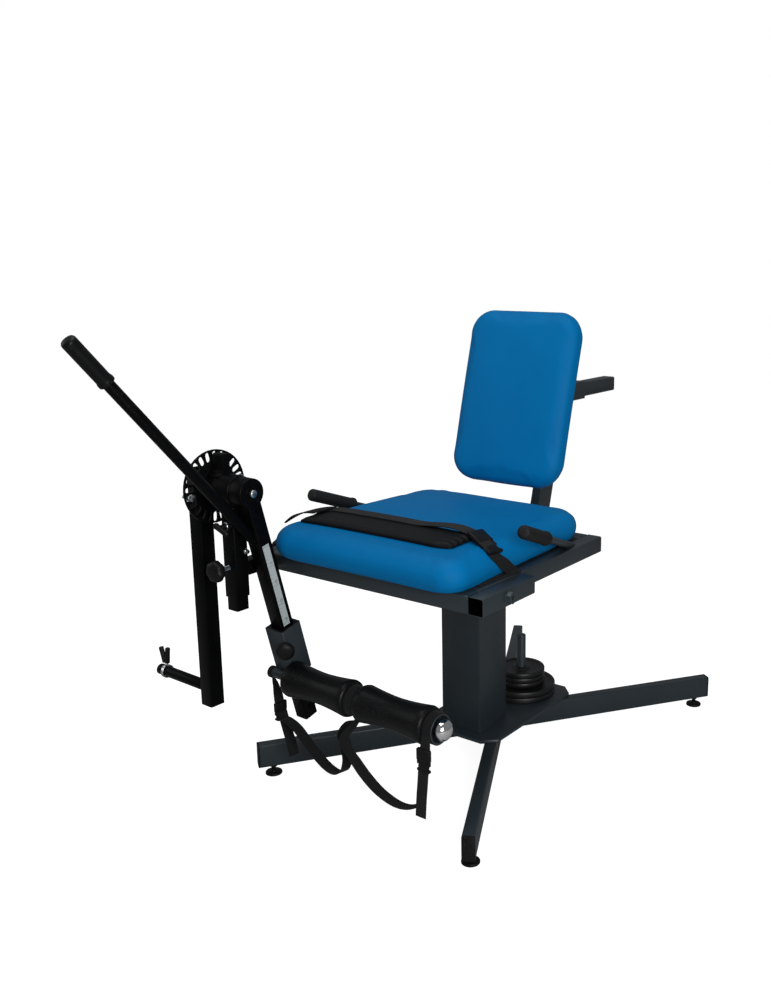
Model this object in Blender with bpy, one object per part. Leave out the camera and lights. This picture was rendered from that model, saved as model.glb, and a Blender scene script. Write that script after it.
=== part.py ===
"""Quadriceps exercise chair, one object for each separate piece.

Metres, +Z up. Shapes are laid out from the floor point under the crossing of
the legs, then all of them move together so that the origin is at the bottom
centre of the whole. The sitter faces -Y, and +X is the sitter's left.
"""
import math

import bmesh
import bpy
from mathutils import Matrix, Vector

# Clearances between pieces
TOUCH = 0.0003
RUNNING = 0.0004

# Base
LEG_REACH = 0.638
LEG_ANGLE = math.radians(57.8)
LEG_TURN = math.radians(-3.4)
LEG_HEIGHT = 0.060
LEG_WIDTH = 0.030
LEG_WALL = 0.002
LEG_CLEAR = 0.025
CAP_THICK = 0.004
FOOT_RADIUS = 0.021
FOOT_THICK = 0.008
FOOT_INSET = 0.034
STEM_RADIUS = 0.005
BASE_PLATE_X = 0.236
BASE_PLATE_Y = 0.410
BASE_PLATE_CUT = 0.032
BASE_PLATE_THICK = 0.008
COLUMN_SIZE = 0.120
COLUMN_WALL = 0.004
COLUMN_Y = -0.1115
FLANGE_THICK = 0.008
FLANGE_MARGIN = 0.030

# Weight plates on their storage pin
PIN_RADIUS = 0.0125
PIN_Y = 0.110
PIN_TOP = 0.260
LARGE_RADIUS = 0.094
LARGE_THICK = 0.0165
LARGE_COUNT = 2
SMALL_RADIUS = 0.065
SMALL_THICK = 0.0140
SMALL_COUNT = 3
PLATE_BORE_CLEAR = 0.0010

# Seat frame
FRAME_TOP = 0.598
FRAME_TUBE = 0.040
FRAME_WALL = 0.002
FRAME_FRONT = -0.524
FRAME_BACK = 0.040
RAIL_OUTER = 0.282
RECEIVER_LENGTH = 0.195
CARRIER_BACK = 0.212
CORNER = 0.004
NUT_FLAT = 0.024
NUT_THICK = 0.012
SCREW_RADIUS = 0.005
NUT_FROM_FRONT = 0.093

# Seat
SEAT_HALF_WIDTH = 0.257
SEAT_FRONT = -0.541
SEAT_BACK = -0.055
SEAT_THICK = 0.088
SEAT_CROWN = 0.013
SEAT_CORNER = 0.075
BOARD_THICK = 0.012
BOARD_INSET = 0.040

# Hand grips beside the seat
GRIP_ROD_RADIUS = 0.009
GRIP_FOOT = (0.262, -0.078)
GRIP_TIP = (0.312, -0.3585, 0.7015)
GRIP_RADIUS = 0.0155
GRIP_LENGTH = 0.140
GRIP_END = 0.006

# Thigh strap
STRAP_Y = -0.461
STRAP_WIDTH = 0.112
STRAP_THICK = 0.014
STRAP_RIGHT = 0.232
WEBBING_Y = -0.432
WEBBING_WIDTH = 0.040
WEBBING_THICK = 0.0022
BUCKLE_THICK = 0.010
ANKLE_WIDTH = 0.028
ANKLE_THICK = 0.0020

# Backrest
BACK_LEAN = math.radians(15.0)
BACK_FOOT_Y = 0.027
BACK_FOOT_Z = 0.694
BACK_HEIGHT = 0.462
BACK_HALF_WIDTH = 0.170
BACK_THICK = 0.070
BACK_CORNER = 0.070
BACK_CROWN = 0.010
POST_WIDTH = 0.030
POST_DEPTH = 0.060
POST_LEAN = math.radians(15.8)
POST_FOOT_Y = 0.167
BACK_TUBE = 0.040
BACK_TUBE_Z = 0.908
BACK_TUBE_END = 0.577
BACK_SLEEVE = 0.050
BACK_SLEEVE_FRONT = 0.245
BACK_SLEEVE_LENGTH = 0.150
BACK_PLATE_X = 0.160
BACK_PLATE_HEIGHT = 0.220
BACK_PLATE_THICK = 0.006

# Exercise arm
ARM_X = -0.302
ARM_Y = -0.618
PIVOT_Z = 0.764
SLEEVE_OUTER = 0.040
POST_TUBE = 0.035
TUBE_WALL = 0.002
SLEEVE_BOTTOM = 0.515
INNER_DROP = 0.032
INSERT_DEPTH = 0.150
HOUSING_RADIUS = 0.036
HOUSING_LEFT = -0.352
HOUSING_RIGHT = -0.2748
FIN_THICK = 0.035
FIN_WIDTH = 0.020
FIN_REACH = 0.080
AXLE_RADIUS = 0.0125

# Range disc
DISC_RADIUS = 0.085
DISC_THICK = 0.006
DISC_RIGHT = -0.360
SLOT_COUNT = 24
SLOT_RADIUS = 0.070
SLOT_LENGTH = 0.024
SLOT_WIDTH = 0.0125
SLOT_PHASE = math.radians(12.4)
STOP_SLOT = 12
STOP_HEAD = 0.0135
STOP_SHANK = 0.0045

# Leg lever
LEVER_LEAN = math.radians(14.5)
LEVER_LEFT = -0.273
LEVER_TUBE = 0.038
LEVER_LENGTH = 0.603
LEVER_HEAD_RADIUS = 0.034
LEVER_HEAD_PROUD = 0.0006
HAND_LEVER_RADIUS = 0.0125
HAND_LEVER_ANGLE = math.radians(49.05)
HAND_LEVER_FOOT = 0.1025
HAND_LEVER_LENGTH = 0.611
HAND_GRIP_RADIUS = 0.016
HAND_GRIP_LENGTH = 0.118

# Shin slide
SLIDE_OUTER = 0.060
SLIDE_WALL = 0.0028
SLIDE_START = 0.345
SLIDE_LENGTH = 0.125
ROLLER_AXLE_DROP = 0.466
ROLLER_AXLE_OUT = 0.036
ROLLER_AXLE_RADIUS = 0.0125
ROLLER_STUB = 0.012
ROLLER_RADIUS = 0.043
ROLLER_WAIST = 0.036
ROLLER_LENGTH = 0.200
ROLLER_GAP = 0.030
DRUM_RADIUS = 0.033
DRUM_LENGTH = 0.024
DRUM_WALL = 0.003
AXLE_WALL = 0.0025
CAP_RADIUS = 0.0235
CAP_LENGTH = 0.024

# Weight arm
WEIGHT_TUBE = 0.040
WEIGHT_RIGHT = -0.398
WEIGHT_BOTTOM = 0.218
WEIGHT_TOP = 0.036
BAR_RADIUS = 0.0135
BAR_LENGTH = 0.183
BAR_Z = 0.2575
COLLAR_FROM_END = 0.023

# Knobs
KNOB_RADIUS = 0.029
KNOB_THICK = 0.026
KNOB_LOBES = 7
KNOB_STANDOFF = 0.026
KNOB_Z = 0.587
PLUNGER_Z = 0.684
PLUNGER_REACH = 0.017
PLUNGER_TILT = math.radians(23.0)
PLUNGER_HALF = 0.0235
PLUNGER_RADIUS = 0.0075
ARM_TURN = math.radians(-2.0)
POST_PLAY = 0.0007
BALL_RADIUS = 0.0225
BALL_DROP = 0.036

SEGMENTS = 28
SMALL_SEGMENTS = 16

# Values worked out from the dimensions
FRAME_BOTTOM = FRAME_TOP - FRAME_TUBE
FRAME_MID = FRAME_TOP - FRAME_TUBE / 2
LEG_TOP = LEG_CLEAR + LEG_HEIGHT
DECK_TOP = LEG_TOP + TOUCH + BASE_PLATE_THICK
RAIL_X = RAIL_OUTER - FRAME_TUBE / 2
RECEIVER_X = RAIL_OUTER + FRAME_TUBE / 2 + TOUCH
SEAT_BASE = FRAME_TOP + TOUCH
PIVOT = Vector((0.0, ARM_Y, PIVOT_Z))
LEVER_X = LEVER_LEFT + LEVER_TUBE / 2
LEVER_RIGHT = LEVER_LEFT + LEVER_TUBE
LEVER_DOWN = Vector((0.0, math.sin(LEVER_LEAN), -math.cos(LEVER_LEAN)))
LEVER_OUT = Vector((0.0, -math.cos(LEVER_LEAN), -math.sin(LEVER_LEAN)))
X_AXIS = Vector((1.0, 0.0, 0.0))
Y_AXIS = Vector((0.0, 1.0, 0.0))
Z_AXIS = Vector((0.0, 0.0, 1.0))

ANTHRACITE = ("anthracite paint", (0.045, 0.055, 0.063), 0.45, 0.3)
BLACK_PAINT = ("black paint", (0.012, 0.012, 0.014), 0.32, 0.3)
BLACK_PLASTIC = ("black plastic", (0.015, 0.015, 0.016), 0.55, 0.0)
BLACK_RUBBER = ("black rubber", (0.018, 0.018, 0.019), 0.75, 0.0)
BLACK_FOAM = ("black foam", (0.014, 0.014, 0.015), 0.8, 0.0)
CAST_IRON = ("cast iron", (0.020, 0.020, 0.021), 0.5, 0.4)
BLUE_VINYL = ("blue vinyl", (0.0, 0.11, 0.34), 0.5, 0.0)
WEBBING = ("black webbing", (0.013, 0.013, 0.014), 0.9, 0.0)
ZINC = ("zinc", (0.62, 0.66, 0.68), 0.3, 0.9)
CHROME = ("chrome", (0.85, 0.85, 0.84), 0.08, 1.0)
PLYWOOD = ("plywood", (0.45, 0.30, 0.17), 0.7, 0.0)


def clear_scene():
    for item in list(bpy.data.objects):
        bpy.data.objects.remove(item)


def paint(item, finish):
    name, colour, roughness, metallic = finish
    surface = bpy.data.materials.new(f"{item.name} {name}")
    surface.use_nodes = True
    shader = surface.node_tree.nodes["Principled BSDF"]
    shader.inputs["Base Color"].default_value = (*colour, 1.0)
    shader.inputs["Roughness"].default_value = roughness
    shader.inputs["Metallic"].default_value = metallic
    surface.diffuse_color = (*colour, 1.0)
    item.data.materials.append(surface)


def make(name, shape, finish, smooth=35.0):
    """Turn a bmesh into a named object with its own material."""
    bmesh.ops.recalc_face_normals(shape, faces=shape.faces)
    mesh = bpy.data.meshes.new(name)
    shape.to_mesh(mesh)
    shape.free()
    mesh.shade_smooth()
    mesh.set_sharp_from_angle(angle=math.radians(smooth))
    item = bpy.data.objects.new(name, mesh)
    bpy.context.collection.objects.link(item)
    paint(item, finish)
    return item


def basis(origin, along, across):
    """Frame whose Z runs along one direction and whose X leans towards another."""
    z = Vector(along).normalized()
    x = (Vector(across) - z * Vector(across).dot(z)).normalized()
    y = z.cross(x)
    turn = Matrix((x, y, z)).transposed().to_4x4()
    return Matrix.Translation(Vector(origin)) @ turn


def rounded_outline(width, depth, radius, steps=3):
    """Corner-rounded rectangle centred on zero, counter-clockwise."""
    points = []
    for corner, (sx, sy) in enumerate(((1, 1), (-1, 1), (-1, -1), (1, -1))):
        cx, cy = sx * (width / 2 - radius), sy * (depth / 2 - radius)
        for step in range(steps + 1):
            angle = math.radians(90.0 * corner + 90.0 * step / steps)
            points.append((cx + radius * math.cos(angle), cy + radius * math.sin(angle)))
    return points


def ring(shape, points, z, frame):
    return [shape.verts.new(frame @ Vector((x, y, z))) for x, y in points]


def bridge(shape, lower, upper):
    count = len(lower)
    for i in range(count):
        j = (i + 1) % count
        shape.faces.new((lower[i], lower[j], upper[j], upper[i]))


def prism(points, low, high, frame):
    """Solid with one outline, from low to high along the frame's Z."""
    shape = bmesh.new()
    bottom = ring(shape, points, low, frame)
    top = ring(shape, points, high, frame)
    bridge(shape, bottom, top)
    shape.faces.new(list(reversed(bottom)))
    shape.faces.new(top)
    return shape


def tube(outer, inner, low, high, frame):
    """Open-ended tube between two outlines with equal point counts."""
    shape = bmesh.new()
    loops = [ring(shape, points, z, frame)
             for z, points in ((low, outer), (high, outer), (high, inner), (low, inner))]
    for i in range(4):
        bridge(shape, loops[i], loops[(i + 1) % 4])
    return shape


def square_tube(width, depth, wall, low, high, frame):
    outer = rounded_outline(width, depth, CORNER)
    inner = rounded_outline(width - 2 * wall, depth - 2 * wall, max(CORNER - wall, 0.0008))
    return tube(outer, inner, low, high, frame)


def turned(profile, frame, segments=SEGMENTS):
    """Solid of revolution round the frame's Z from (radius, z) points."""
    shape = bmesh.new()
    rings = []
    for radius, z in profile:
        if radius == 0.0:
            rings.append([shape.verts.new(frame @ Vector((0.0, 0.0, z)))])
            continue
        points = [(radius * math.cos(2 * math.pi * i / segments),
                   radius * math.sin(2 * math.pi * i / segments)) for i in range(segments)]
        rings.append(ring(shape, points, z, frame))
    closed = profile[0][0] > 0.0
    pairs = list(zip(rings, rings[1:]))
    if closed:
        pairs.append((rings[-1], rings[0]))
    for first, second in pairs:
        for i in range(segments):
            j = (i + 1) % segments
            if len(first) == 1:
                shape.faces.new((first[0], second[j], second[i]))
            elif len(second) == 1:
                shape.faces.new((first[i], first[j], second[0]))
            else:
                shape.faces.new((first[i], first[j], second[j], second[i]))
    return shape


def rod(radius, low, high, frame, segments=SMALL_SEGMENTS, chamfer=0.0):
    profile = [(0.0, low), (radius - chamfer, low)]
    if chamfer:
        profile += [(radius, low + chamfer), (radius, high - chamfer)]
    profile += [(radius - chamfer, high), (0.0, high)]
    return turned(profile, frame, segments)


def bored_rod(radius, bore, low, high, frame, segments=SEGMENTS):
    return turned([(bore, low), (radius, low), (radius, high), (bore, high)], frame, segments)


def helper(shape):
    """Hidden cutter or joining piece for a Boolean."""
    bmesh.ops.recalc_face_normals(shape, faces=shape.faces)
    mesh = bpy.data.meshes.new("tool")
    shape.to_mesh(mesh)
    shape.free()
    item = bpy.data.objects.new("tool", mesh)
    bpy.context.collection.objects.link(item)
    item.hide_render = True
    item.display_type = 'WIRE'
    return item


def combine(item, operation, shapes):
    """Join shapes to an object or cut them from it, for good."""
    for shape in shapes:
        tool = helper(shape)
        step = item.modifiers.new(operation.lower(), 'BOOLEAN')
        step.operation = operation
        step.solver = 'EXACT'
        step.object = tool
        depsgraph = bpy.context.evaluated_depsgraph_get()
        mesh = bpy.data.meshes.new_from_object(item.evaluated_get(depsgraph))
        item.modifiers.clear()
        old = item.data
        item.data = mesh
        mesh.name = old.name
        bpy.data.meshes.remove(old)
        bpy.data.objects.remove(tool)
    item.data.shade_smooth()
    item.data.set_sharp_from_angle(angle=math.radians(35.0))
    return item


def join(item, *shapes):
    return combine(item, 'UNION', shapes)


def cut(item, *shapes):
    return combine(item, 'DIFFERENCE', shapes)


def slice_off(shape, point, normal):
    """Remove what lies beyond a plane and close the cut."""
    bmesh.ops.recalc_face_normals(shape, faces=shape.faces)
    geometry = shape.verts[:] + shape.edges[:] + shape.faces[:]
    result = bmesh.ops.bisect_plane(shape, geom=geometry, dist=1e-7, plane_co=point,
                                    plane_no=normal, clear_outer=True)
    edges = [part for part in result["geom_cut"] if isinstance(part, bmesh.types.BMEdge)]
    if len(edges) > 0:
        loops = bmesh.ops.edgeloop_fill(shape, edges=edges)["faces"]
        if len(loops) == 2:
            bmesh.ops.delete(shape, geom=loops, context='FACES_ONLY')
            bmesh.ops.bridge_loops(shape, edges=edges)
    return shape


def pivot_at(item, point):
    """Put an object's origin on its joint's axis without moving its shape."""
    point = Vector(point)
    item.data.transform(Matrix.Translation(-point))
    item.location = point
    return item


def hexagon(flat):
    corner = flat / math.sqrt(3.0)
    return [(corner * math.cos(math.radians(60 * i + 30)),
             corner * math.sin(math.radians(60 * i + 30))) for i in range(6)]


def circle(radius, segments=SMALL_SEGMENTS):
    return [(radius * math.cos(2 * math.pi * i / segments),
             radius * math.sin(2 * math.pi * i / segments)) for i in range(segments)]


def leg_frame(angle, height):
    """Frame along a leg: Z outward, X across and level, from the crossing."""
    out = Vector((math.cos(angle), math.sin(angle), 0.0))
    return basis((0.0, 0.0, height), out, Z_AXIS.cross(out))


def build_legs():
    middle = LEG_CLEAR + LEG_HEIGHT / 2
    back_left = LEG_TURN + LEG_ANGLE
    front_left = LEG_TURN - LEG_ANGLE
    end = LEG_REACH
    long_frame = leg_frame(back_left, middle)
    make("leg_long", square_tube(LEG_WIDTH, LEG_HEIGHT, LEG_WALL, -end, end, long_frame), ANTHRACITE)
    side = Vector((-math.sin(back_left), math.cos(back_left), 0.0))
    for name, angle, sign in (("leg_half_front", front_left, -1), ("leg_half_back", front_left + math.pi, 1)):
        shape = square_tube(LEG_WIDTH, LEG_HEIGHT, LEG_WALL, 0.0, end, leg_frame(angle, middle))
        slice_off(shape, side * sign * (LEG_WIDTH / 2 + TOUCH), side * -sign)
        make(name, shape, ANTHRACITE)
    for number, angle in enumerate((back_left, front_left, back_left + math.pi, front_left + math.pi)):
        frame = leg_frame(angle, middle)
        outline = rounded_outline(LEG_WIDTH, LEG_HEIGHT, CORNER)
        cap = prism(outline, end + TOUCH, end + TOUCH + CAP_THICK, frame)
        make(f"leg_cap_{number + 1}", cap, BLACK_PLASTIC)
        build_foot(f"levelling_foot_{number + 1}", frame @ Vector((0.0, 0.0, end - FOOT_INSET)))


def build_foot(name, over):
    """Disc and threaded stem that turn in the underside of a leg."""
    top = LEG_CLEAR - TOUCH
    nut_low = top - 0.006
    profile = [(0.0, 0.0), (FOOT_RADIUS * 0.93, 0.0), (FOOT_RADIUS, 0.0015),
               (FOOT_RADIUS, FOOT_THICK * 0.6), (FOOT_RADIUS * 0.7, FOOT_THICK),
               (STEM_RADIUS, FOOT_THICK), (STEM_RADIUS, nut_low), (STEM_RADIUS * 1.8, nut_low),
               (STEM_RADIUS * 1.8, top), (0.0, top)]
    foot = make(name, turned(profile, basis((over.x, over.y, 0.0), Z_AXIS, X_AXIS), 16), BLACK_PLASTIC)
    pivot_at(foot, (over.x, over.y, 0.0))


def build_base():
    build_legs()
    hx, hy, c = BASE_PLATE_X / 2, BASE_PLATE_Y / 2, BASE_PLATE_CUT
    outline = [(hx, -hy + c), (hx, hy - c), (hx - c, hy), (-hx + c, hy),
               (-hx, hy - c), (-hx, -hy + c), (-hx + c, -hy), (hx - c, -hy)]
    deck = LEG_TOP + TOUCH
    plate = make("base_plate", prism(outline, deck, DECK_TOP, Matrix()), ANTHRACITE)
    join(plate, rod(PIN_RADIUS, deck + BASE_PLATE_THICK / 2, PIN_TOP, Matrix.Translation((0.0, PIN_Y, 0.0)), 20,
                    0.0015))
    column_top = FRAME_BOTTOM - TOUCH
    frame = Matrix.Translation((0.0, COLUMN_Y, 0.0))
    flange_low = column_top - FLANGE_THICK
    column = make("column", square_tube(COLUMN_SIZE, COLUMN_SIZE, COLUMN_WALL, DECK_TOP + TOUCH,
                                        flange_low + FLANGE_THICK / 2, frame), ANTHRACITE)
    flange_side = COLUMN_SIZE + 2 * FLANGE_MARGIN
    outline = rounded_outline(flange_side, flange_side, 0.010)
    join(column, prism(outline, flange_low, column_top, frame))
    reach = COLUMN_SIZE / 2 + FLANGE_MARGIN / 2
    holes = [prism(circle(0.0055), flange_low - 0.01, column_top + 0.01,
                   Matrix.Translation((sx * reach, COLUMN_Y + sy * reach, 0.0)))
             for sx in (-1, 1) for sy in (-1, 1)]
    cut(column, *holes)


def plate_shape(radius, thick, z):
    """Cast plate: raised rim and hub on both sides round a thinner web."""
    rim, web = 0.010, 0.0035
    hub = PIN_RADIUS + 0.011
    bore = PIN_RADIUS + PLATE_BORE_CLEAR
    top = thick - TOUCH
    profile = [(bore, 0.0), (hub, 0.0), (hub + 0.002, web), (radius - rim - 0.002, web), (radius - rim, 0.0),
               (radius - 0.003, 0.0), (radius, 0.003), (radius, top - 0.003), (radius - 0.003, top),
               (radius - rim, top), (radius - rim - 0.002, top - web), (hub + 0.002, top - web), (hub, top),
               (bore, top)]
    frame = Matrix.Translation((0.0, PIN_Y, z))
    return turned(profile, frame)


def build_plates():
    z = DECK_TOP + TOUCH
    for size, count, radius, thick in (("large", LARGE_COUNT, LARGE_RADIUS, LARGE_THICK),
                                       ("small", SMALL_COUNT, SMALL_RADIUS, SMALL_THICK)):
        for number in range(count):
            item = make(f"plate_{size}_{number + 1}", plate_shape(radius, thick, z), CAST_IRON)
            pivot_at(item, (0.0, PIN_Y, z))
            z += thick


def frame_bar(name, start, end, width=FRAME_TUBE, depth=FRAME_TUBE, wall=FRAME_WALL, finish=ANTHRACITE):
    """Level square tube between two points on its centre line."""
    start, end = Vector(start), Vector(end)
    frame = basis(start, end - start, Z_AXIS)
    return make(name, square_tube(depth, width, wall, 0.0, (end - start).length, frame), finish)


def nut_shape(centre, direction):
    frame = basis(centre, direction, Z_AXIS)
    return tube(hexagon_ring(NUT_FLAT), circle(SCREW_RADIUS + RUNNING, 12), 0.0, NUT_THICK, frame)


def hexagon_ring(flat):
    """Hexagon with a point added on each side, twelve in all."""
    corners = hexagon(flat)
    points = []
    for i, (x, y) in enumerate(corners):
        nx, ny = corners[(i + 1) % 6]
        points += [(x, y), ((x + nx) / 2, (y + ny) / 2)]
    turn = math.atan2(points[0][1], points[0][0])
    return [(x * math.cos(-turn) - y * math.sin(-turn), x * math.sin(-turn) + y * math.cos(-turn))
            for x, y in points]


def build_receiver(name, side):
    """Open square socket beside a rail, with a clamp nut welded over a hole in its outer wall."""
    x = side * RECEIVER_X
    item = frame_bar(name, (x, FRAME_FRONT, FRAME_MID), (x, FRAME_FRONT + RECEIVER_LENGTH, FRAME_MID))
    outer = side * (RECEIVER_X + FRAME_TUBE / 2)
    nut_y = FRAME_FRONT + NUT_FROM_FRONT
    direction = X_AXIS * side
    join(item, nut_shape((outer - side * 0.0005, nut_y, FRAME_MID), direction))
    hole = prism(circle(SCREW_RADIUS + RUNNING, 12), -0.006, NUT_THICK + 0.002,
                 basis((outer, nut_y, FRAME_MID), direction, Z_AXIS))
    return cut(item, hole)


def build_seat_frame():
    inner = RAIL_OUTER - FRAME_TUBE - TOUCH
    front = FRAME_FRONT + FRAME_TUBE
    mid = FRAME_MID
    frame_bar("front_beam", (-RAIL_OUTER, front - FRAME_TUBE / 2, mid), (RAIL_OUTER, front - FRAME_TUBE / 2, mid))
    for name, side in (("side_rail_left", 1), ("side_rail_right", -1)):
        frame_bar(name, (side * RAIL_X, front + TOUCH, mid), (side * RAIL_X, FRAME_BACK, mid))
    rear = FRAME_BACK - FRAME_TUBE / 2
    frame_bar("rear_beam", (-inner, rear, mid), (inner, rear, mid))
    gap = COLUMN_SIZE / 2 - FRAME_TUBE / 4
    for name, y in (("cross_tube_front", COLUMN_Y - gap), ("cross_tube_rear", COLUMN_Y + gap)):
        frame_bar(name, (-inner, y, mid), (inner, y, mid))
    frame_bar("back_carrier", (0.0, FRAME_BACK + TOUCH, mid), (0.0, CARRIER_BACK, mid))
    build_receiver("receiver_left", 1)
    build_receiver("receiver_right", -1)


def cushion_rings(half_x, half_y, corner, levels):
    """Outlines for a cushion: each level gives (inset, height)."""
    rings = []
    for inset, height in levels:
        radius = max(corner - inset, 0.012)
        outline = rounded_outline(2 * (half_x - inset), 2 * (half_y - inset), radius, 5)
        rings.append((outline, height))
    return rings


def cushion(half_x, half_y, thick, corner, crown, frame):
    """Upholstered pad: sides drawn in below, full shoulder, crowned face."""
    sides = [(0.016, 0.0), (0.004, 0.10 * thick), (0.0, 0.42 * thick), (0.001, 0.62 * thick),
             (0.007, 0.80 * thick), (0.018, 0.93 * thick), (0.034, thick)]
    face = [(0.034 + (min(half_x, half_y) - 0.050) * t, thick + crown * math.sin(math.pi / 2 * t))
            for t in (0.2, 0.42, 0.68, 1.0)]
    shape = bmesh.new()
    loops = [ring(shape, outline, z, frame) for outline, z in cushion_rings(half_x, half_y, corner, sides + face)]
    for lower, upper in zip(loops, loops[1:]):
        bridge(shape, lower, upper)
    shape.faces.new(list(reversed(loops[0])))
    shape.faces.new(loops[-1])
    return shape


def build_seat():
    middle = (SEAT_FRONT + SEAT_BACK) / 2
    half_y = (SEAT_BACK - SEAT_FRONT) / 2
    frame = Matrix.Translation((0.0, middle, SEAT_BASE))
    pad = make("seat_cushion", cushion(SEAT_HALF_WIDTH, half_y, SEAT_THICK, SEAT_CORNER, SEAT_CROWN, frame),
               BLUE_VINYL, 60.0)
    width = 2 * (SEAT_HALF_WIDTH - BOARD_INSET)
    depth = 2 * (half_y - BOARD_INSET)
    outline = rounded_outline(width, depth, SEAT_CORNER - BOARD_INSET)
    pocket = rounded_outline(width + 2 * TOUCH, depth + 2 * TOUCH, SEAT_CORNER - BOARD_INSET + TOUCH)
    cut(pad, prism(pocket, -0.01, BOARD_THICK + TOUCH, frame))
    make("seat_board", prism(outline, 0.0, BOARD_THICK, frame), PLYWOOD)


def build_side_grip(side, word):
    """Rod welded on top of the rail, rising forward and outward, with a rubber grip on its end."""
    foot = Vector((side * GRIP_FOOT[0], GRIP_FOOT[1], FRAME_TOP + TOUCH))
    tip = Vector((side * GRIP_TIP[0], GRIP_TIP[1], GRIP_TIP[2]))
    along = (tip - foot).normalized()
    shape = rod(GRIP_ROD_RADIUS, -0.04, (tip - foot).length, basis(foot, along, X_AXIS), 20)
    slice_off(shape, foot, -Z_AXIS)
    make(f"grip_rod_{word}", shape, ANTHRACITE)
    start = GRIP_LENGTH - GRIP_END
    bore = GRIP_ROD_RADIUS + TOUCH
    profile = [(0.0, GRIP_END), (GRIP_RADIUS * 0.45, GRIP_END), (GRIP_RADIUS * 0.80, GRIP_END - 0.003),
               (GRIP_RADIUS, GRIP_END - 0.010), (GRIP_RADIUS, -start + 0.002), (GRIP_RADIUS - 0.002, -start),
               (bore, -start), (bore, TOUCH), (0.0, TOUCH)]
    make(f"hand_grip_{word}", turned(profile, basis(tip, along, X_AXIS), 20), BLACK_RUBBER)


def seat_profile(x):
    """Height of the cushion's top under the thigh strap."""
    edge = SEAT_HALF_WIDTH
    t = min(abs(x) / edge, 1.0)
    top = SEAT_BASE + SEAT_THICK + SEAT_CROWN
    return top - SEAT_CROWN * t ** 4


def band(stations, thick):
    """Webbing through stations of (point, across, width), one closed solid."""
    shape = bmesh.new()
    loops = []
    points = [Vector(point) for point, across, width in stations]
    for i, (point, across, width) in enumerate(stations):
        before = points[max(i - 1, 0)]
        after = points[min(i + 1, len(points) - 1)]
        side = across.normalized() * width / 2
        deep = side.cross(after - before).normalized() * thick / 2
        corners = (side - deep, side + deep, deep - side, -side - deep)
        loops.append([shape.verts.new(Vector(point) + corner) for corner in corners])
    for lower, upper in zip(loops, loops[1:]):
        bridge(shape, lower, upper)
    shape.faces.new(list(reversed(loops[0])))
    shape.faces.new(loops[-1])
    return shape


def block(centre, along, across, length, width, thick):
    """Small box with chamfered long edges, for a buckle."""
    frame = basis(centre, along, across)
    return prism(rounded_outline(width, thick, thick * 0.3, 1), -length / 2, length / 2, frame)


def strap_section(left, right, base, thick, steps):
    """Outline in X and Z of a band that lies on the cushion's crown."""
    lower, upper = [], []
    for i in range(steps + 1):
        x = left + (right - left) * i / steps
        edge = min(x - left, right - x) / 0.030
        fade = 0.25 + 0.75 * min(edge, 1.0) ** 0.5
        z = seat_profile(x) + base
        lower.append((x, z))
        upper.append((x, z + thick * fade))
    return lower + list(reversed(upper))


def build_thigh_strap():
    """Padded band lying across the seat, with its webbing and buckle on top."""
    frame = basis((0.0, STRAP_Y + STRAP_WIDTH / 2, 0.0), -Y_AXIS, X_AXIS)
    left = -SEAT_HALF_WIDTH + 0.002
    outline = strap_section(left, STRAP_RIGHT, TOUCH + 0.0010, STRAP_THICK, 18)
    make("thigh_strap", prism(outline, 0.0, STRAP_WIDTH, frame), WEBBING)
    lift = TOUCH + 0.0010 + STRAP_THICK + 0.0008 + WEBBING_THICK / 2
    top = seat_profile(0.0) + lift
    side = SEAT_HALF_WIDTH + 0.004
    rail = FRAME_TOP + TOUCH + WEBBING_THICK / 2
    y, w = WEBBING_Y, WEBBING_WIDTH
    crown = [((x, y, seat_profile(x) + lift), Y_AXIS, w) for x in (-0.215, -0.15, -0.08, 0.0, 0.08, 0.15, 0.205)]
    left = [((-side - 0.012, y, rail), Y_AXIS, w), ((-side - 0.001, y, rail + 0.004), Y_AXIS, w),
            ((-side, y, rail + 0.030), Y_AXIS, w), ((-side, y, top - 0.040), Y_AXIS, w),
            ((-side + 0.003, y, top - 0.012), Y_AXIS, w), ((-side + 0.016, y, top - 0.004), Y_AXIS, w)]
    right = [((STRAP_RIGHT, y + 0.004, top - 0.005), Y_AXIS, w),
             ((side - 0.006, y + 0.014, top - 0.018), Y_AXIS, w),
             ((side + 0.004, y + 0.028, top - 0.040), Y_AXIS, w),
             ((side + 0.006, y + 0.054, top - 0.070), Y_AXIS, w),
             ((side + 0.006, y + 0.084, rail + 0.014), Y_AXIS, w),
             ((side + 0.009, y + 0.092, rail + 0.004), Y_AXIS, w),
             ((side + 0.020, y + 0.094, rail), Y_AXIS, w)]
    item = make("thigh_webbing", band(left + crown + right, WEBBING_THICK), WEBBING)
    start, end = Vector(right[0][0]), Vector(right[2][0])
    along = (end - start).normalized()
    lifted = (start + end) / 2 + along.cross(Y_AXIS).normalized() * -0.004
    join(item, block(lifted, along, Y_AXIS, 0.052, WEBBING_WIDTH + 0.010, BUCKLE_THICK))


def back_frame(along=0.0, out=0.0):
    """Frame on the back cushion's rear face: X across, Y up the lean, Z to the sitter."""
    up = Vector((0.0, math.sin(BACK_LEAN), math.cos(BACK_LEAN)))
    forward = Vector((0.0, -math.cos(BACK_LEAN), math.sin(BACK_LEAN)))
    front = Vector((0.0, BACK_FOOT_Y, BACK_FOOT_Z))
    origin = front - forward * (BACK_THICK + BACK_CROWN - out) + up * along
    return basis(origin, forward, X_AXIS)


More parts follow.
